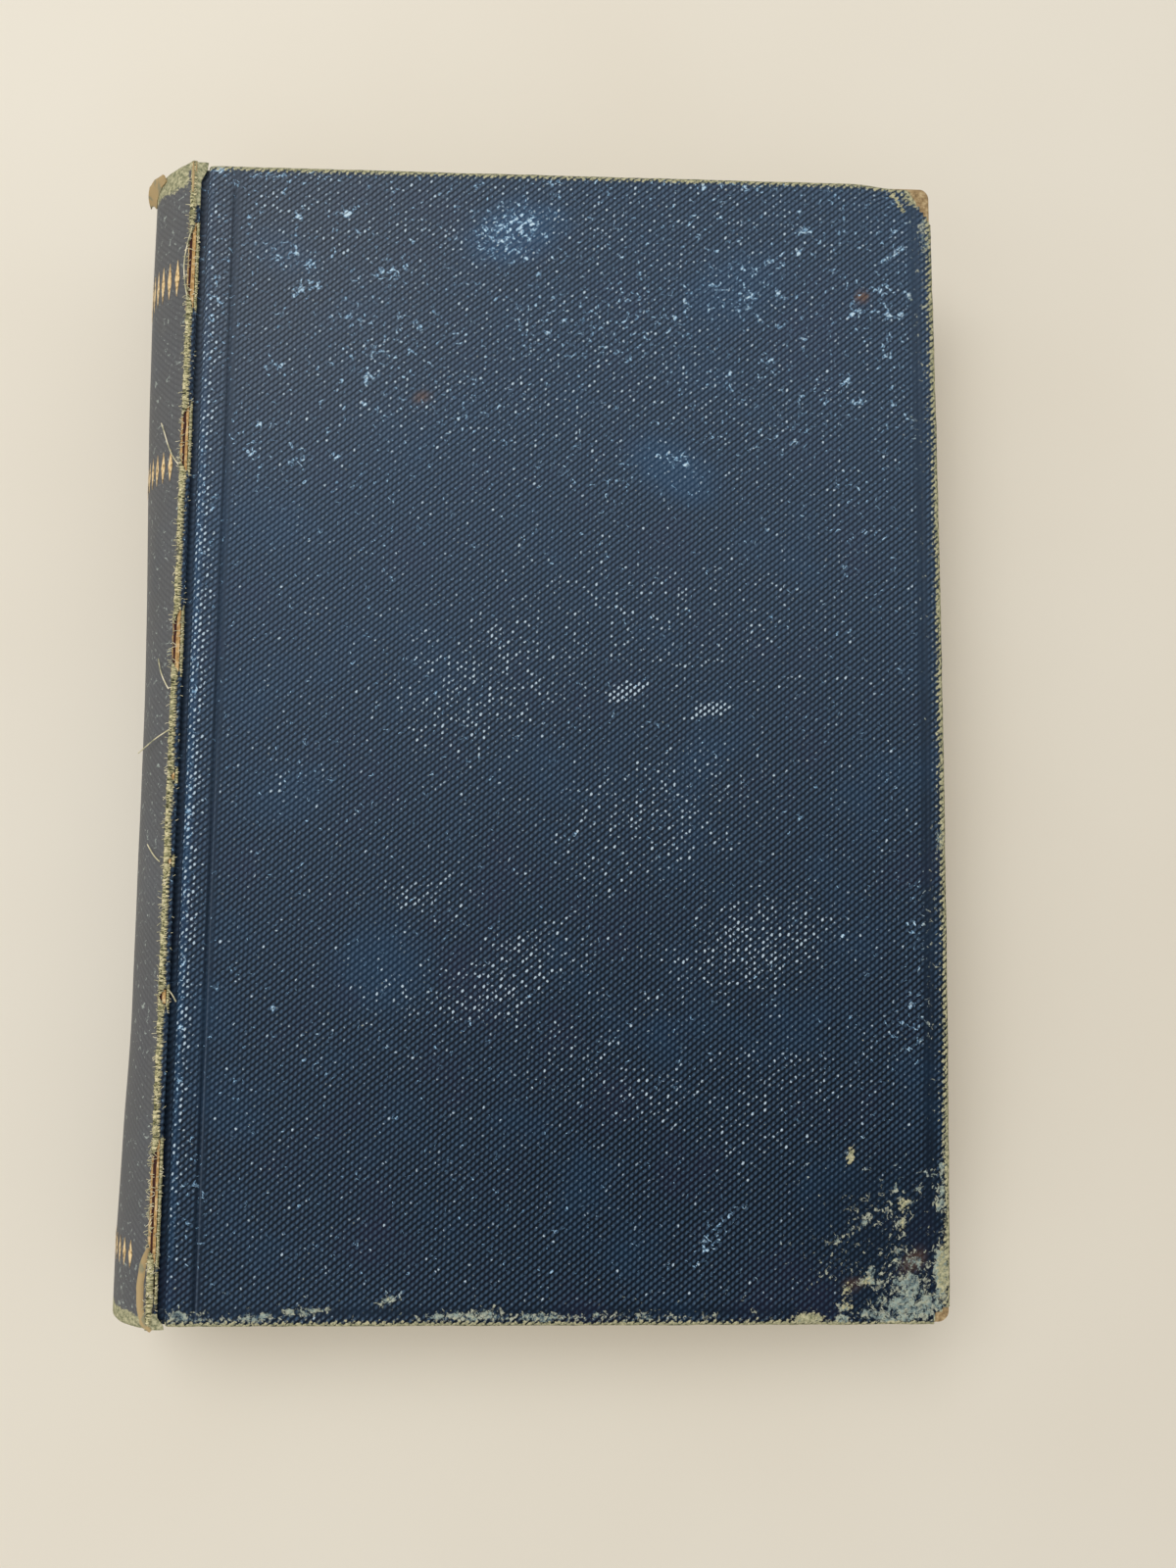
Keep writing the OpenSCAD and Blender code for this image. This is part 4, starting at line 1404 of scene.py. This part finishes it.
def tuft(name, count, rng, makeRoot):
    # many short threads: a few shapes, each copied, turned and set in place with its own mesh
    shapes = []
    for n in range(fringeValues["shapes"]):
        bend = rng.uniform(-0.25, 0.25)
        lift = rng.uniform(0.0, 0.25)
        points = [
            (0, 0, 0), (0.35, bend * 0.4, lift * 0.6), (0.7, bend, lift), (1.0, bend * 1.8, lift * 0.7),
        ]
        shapes.append(threadShape(f"{name}Shape{n}", points, fringeValues["radius"]))
    copies = []
    for n in range(count):
        root, (heading, rise), length = makeRoot(rng)
        source = shapes[n % len(shapes)]
        copy = bpy.data.objects.new(f"{name}{n}", source.data.copy())
        bpy.context.scene.collection.objects.link(copy)
        copy.location = Vector(root) * mm
        copy.rotation_euler = (rng.uniform(-0.4, 0.4), -rise, heading)
        copy.scale = (length, 1.0, 1.0)
        copies.append(copy)
    joined = joinParts(copies, name)
    joined.data.name = name
    bpy.ops.object.transform_apply(location=True, rotation=True, scale=True)
    for source in shapes:
        bpy.data.objects.remove(source)
    return joined


def spineFringeRoot(rng):
    # on the torn edge of the ridge, pointing out over the spine
    gap = fringeValues["endGap"]
    y = rng.uniform(book["spineTailY"] + gap, book["spineHeadY"] - gap)
    width = tearWidth(y)
    low = 45 + 70 * min(1.0, width / 1.05)
    a = math.radians(rng.uniform(low, max(low + 12, 128)))
    x = book["ridgeX"] + book["ridgeR"] * math.cos(a)
    z = book["ridgeZ"] + book["ridgeR"] * math.sin(a) - 0.02
    heading = (math.pi if rng.random() < 0.6 else 0.0) + rng.gauss(0, 0.5)
    rise = rng.uniform(-0.15, 0.12)
    return (x, y, z), (heading, rise), rng.uniform(*fringeValues["length"])


def coverFringeRoot(rng):
    # on the roll of the cover's torn edge, pointing out over the joint groove
    gap = fringeValues["endGap"]
    y = rng.uniform(book["tailY"] + gap, book["headY"] - gap)
    while tearWidth(y) == 0.0 and rng.random() < 0.85:
        y = rng.uniform(book["tailY"] + gap, book["headY"] - gap)
    x = coverShape["rollX"] + rng.uniform(-0.12, 0.12)
    z = 35.43 + rng.uniform(-0.03, 0.02)
    heading = (0.0 if rng.random() < 0.6 else math.pi) + rng.gauss(0, 0.5)
    rise = rng.uniform(-0.25, 0.05)
    return (x, y, z), (heading, rise), rng.uniform(*fringeValues["length"]) * fringeValues["coverShare"]


fringeRandom = random.Random(23)
spineFringe = tuft("spineFringe", fringeValues["countSpine"], fringeRandom, spineFringeRoot)
finishPiece(spineFringe, threadMaterial, "pages_and_spine")
coverFringe = tuft("coverFringe", fringeValues["countCover"], fringeRandom, coverFringeRoot)
finishPiece(coverFringe, threadMaterial, "front_cover")
print("stage: fringes")


# What shows in the tears, and what has come loose

liningValues = {
    "startX": -68.85,
    "pitch": 0.21,
    "z": 35.33,
    "margin": 0.3,
    "rowStep": 0.5,
    "leastTear": 0.4,
    "thick": 0.12,
    "bentThick": 0.16,
}
flapValues = {
    "inner": [(-75.2, 109.4, 30.2), (-77.8, 108.9, 26.2), (-79.5, 108.2, 22.2)],
    "outer": [(-76.4, 111.3, 29.6), (-80.0, 111.0, 25.2), (-81.9, 109.4, 20.2)],
    "thick": 0.35,
}


def tornLining():
    # the lining, torn through along with the cloth; its broken edge shows on the spine side of each tear
    parts = []
    for number, (upper, lower, most, right) in enumerate(tears):
        if most < liningValues["leastTear"]:
            continue
        top = upper - liningValues["margin"]
        rows = spread(lower + liningValues["margin"], top, liningValues["rowStep"]) + [top]

        def place(a, y):
            up = (y - lower) / (upper - lower)
            off = abs(a - 2.7 - 1.5 * right - 0.5 * wander(number, y * 0.5)) / (1.2 + 1.2 * up)
            gap = max(0.0, 1 - off)
            x = liningValues["startX"] + liningValues["pitch"] * a + 0.05 * wander(a + number, y * 1.6)
            z = liningValues["z"] - 0.16 * gap - 0.03 * max(0, a - 4) + 0.04 * wander(y * 0.9, a, number)
            return (x, y, z), {"gap": gap}

        strip = wrapSheet(f"tornLining{number}", range(8), rows, place)
        thicken(strip, liningValues["thick"])
        parts.append(strip)
    return joinParts(parts, "tornLining")


def headFlap():
    # the corner of the head cap, torn up and bent outwards, its worn inner side showing
    def along(line, t):
        weights = ((1 - t) * (1 - 2 * t), 4 * t * (1 - t), t * (2 * t - 1))
        return sum((Vector(point) * w for point, w in zip(line, weights)), Vector())

    def place(a, b):
        out, t = a / 6, b / 10
        width = 0.35 + 0.65 * math.sin(math.pi * (0.1 + 0.8 * t)) ** 0.6
        point = along(flapValues["inner"], t).lerp(along(flapValues["outer"], t), out * width)
        point += Vector((0.0, 0.4, 0.5)) * math.sin(math.pi * out)
        point += Vector((0.0, 0.2, 0.2)) * wander(a * 0.9, b * 0.8)
        return tuple(point), {}

    flap = wrapSheet("tornHeadFlap", range(7), range(11), place)
    thicken(flap, flapValues["thick"], 0)
    return flap


def paperStrip(name, line, half, lift):
    # a ragged strip of the lining that lies along a line of points
    steps = 6
    rows = []
    for start, end in zip(line, line[1:]):
        rows += [Vector(start).lerp(Vector(end), k / steps) for k in range(steps)]
    rows.append(Vector(line[-1]))

    def place(a, b):
        ahead = rows[min(b + 2, len(rows) - 1)] - rows[max(b - 2, 0)]
        side = Vector((ahead.y, -ahead.x, 0)).normalized()
        part = a / 2 - 1
        taper = 0.4 + 0.6 * min(1.0, b / 4, (len(rows) - 1 - b) / 4)
        point = rows[b] + side * (half * part * taper + 0.10 * wander(a * 0.8, b * 0.8, 7.0))
        point.z += lift * (1 - part * part) + 0.06 * wander(a, b * 0.6, 3.0)
        return tuple(point), {}

    strip = wrapSheet(name, range(5), range(len(rows)), place, flip=line[0][1] > line[-1][1])
    thicken(strip, liningValues["bentThick"], 0)
    return strip


# Strips of lining bent out over the cloth: the points that each one follows, half width and bulge
bentStrips = [
    ([(-68.6, -96.6, 35.5), (-69.5, -99.8, 35.05), (-70.0, -103.2, 34.75), (-69.8, -107.2, 34.85),
      (-69.0, -109.8, 35.2), (-67.6, -111.2, 35.45)], 0.62, 0.28),
    ([(-68.3, 110.4, 35.62), (-68.25, 107.5, 35.64), (-68.2, 104.2, 35.62)], 0.20, 0.05),
    ([(-67.7, 110.6, 35.50), (-67.75, 108.4, 35.52)], 0.16, 0.05),
]


def bentLining():
    parts = [paperStrip(f"bentLining{number}", *values) for number, values in enumerate(bentStrips)]
    return joinParts(parts, "bentLining")


tornPapers = {tornLining: tornMaterial, headFlap: capMaterial, bentLining: capMaterial}
for makePiece, material in tornPapers.items():
    piece = makePiece()
    smooth(piece, 60)
    finishPiece(piece, material, "pages_and_spine")

# Loose threads, by the piece they make: the points that each one follows
looseThreads = {
    "looseSpineThreads": [
        [(-73.4, 58.4, 32.6), (-72.6, 56.6, 33.3), (-71.4, 53.2, 34.2), (-70.0, 50.5, 35.0),
         (-68.9, 49.2, 35.6)],
        [(-68.2, -1.9, 35.8), (-69.6, -2.8, 35.6), (-71.6, -3.8, 34.4), (-73.6, -4.9, 32.6),
         (-76.0, -6.0, 30.0)],
        [(-72.5, -23.6, 33.3), (-71.6, -24.8, 34.0), (-70.6, -26.0, 34.8), (-69.4, -26.9, 35.5)],
        [(-71.7, 11.7, 33.9), (-71.2, 9.6, 34.3), (-70.6, 8.2, 34.7), (-69.8, 6.8, 35.3),
         (-69.0, 5.6, 35.75)],
        [(-68.0, 97.0, 35.7), (-69.4, 92.0, 35.6), (-69.3, 86.0, 35.6), (-68.3, 82.0, 35.8)],
    ],
    "looseCoverThread": [
        [(-66.9, -50.4, 35.6), (-66.0, -51.2, 35.7), (-65.2, -52.6, 36.1)],
    ],
}
looseRadius = 0.12
for name, lines in looseThreads.items():
    threads = [threadShape(f"{name}{n}", line, looseRadius) for n, line in enumerate(lines)]
    body = "front_cover" if name == "looseCoverThread" else "pages_and_spine"
    finishPiece(joinParts(threads, name), threadMaterial, body)
print("stage: tears and loose threads")


# Generic gilt ornament on the spine

giltValues = {
    "lift": 0.035,
    "thick": 0.05,
    "pitch": 6.2,
    "halfWidth": 1.7,
}
# Rows of lozenges: place along the spine, height of a lozenge, and how many
giltBands = [(87.4, 7.6, 17), (49.6, 6.4, 17), (-98.6, 5.0, 15)]


def giltOrnament():
    # rows of plain lozenges, each bent round the spine
    parts = []
    for number, (y, height, count) in enumerate(giltBands):
        for k in range(count):
            centre = (k - (count - 1) / 2) * giltValues["pitch"]

            def place(a, b):
                u, v = a / 3 - 1, b / 3 - 1
                turn = centre + giltValues["halfWidth"] * u * (1 - abs(v))
                x, z = spinePoint(turn, y, book["spineR"] + giltValues["lift"])
                return (x, y + v * height / 2, z), {}

            parts.append(wrapSheet(f"lozenge{number}{k}", range(7), range(7), place))
    rows = joinParts(parts, "giltOrnament")
    editAll(rows)
    bpy.ops.mesh.normals_make_consistent(inside=False)
    objectMode()
    thicken(rows, giltValues["thick"], 0)
    smooth(rows)
    return rows


finishPiece(giltOrnament(), giltMaterial, "pages_and_spine")
print("stage: gilt ornament")
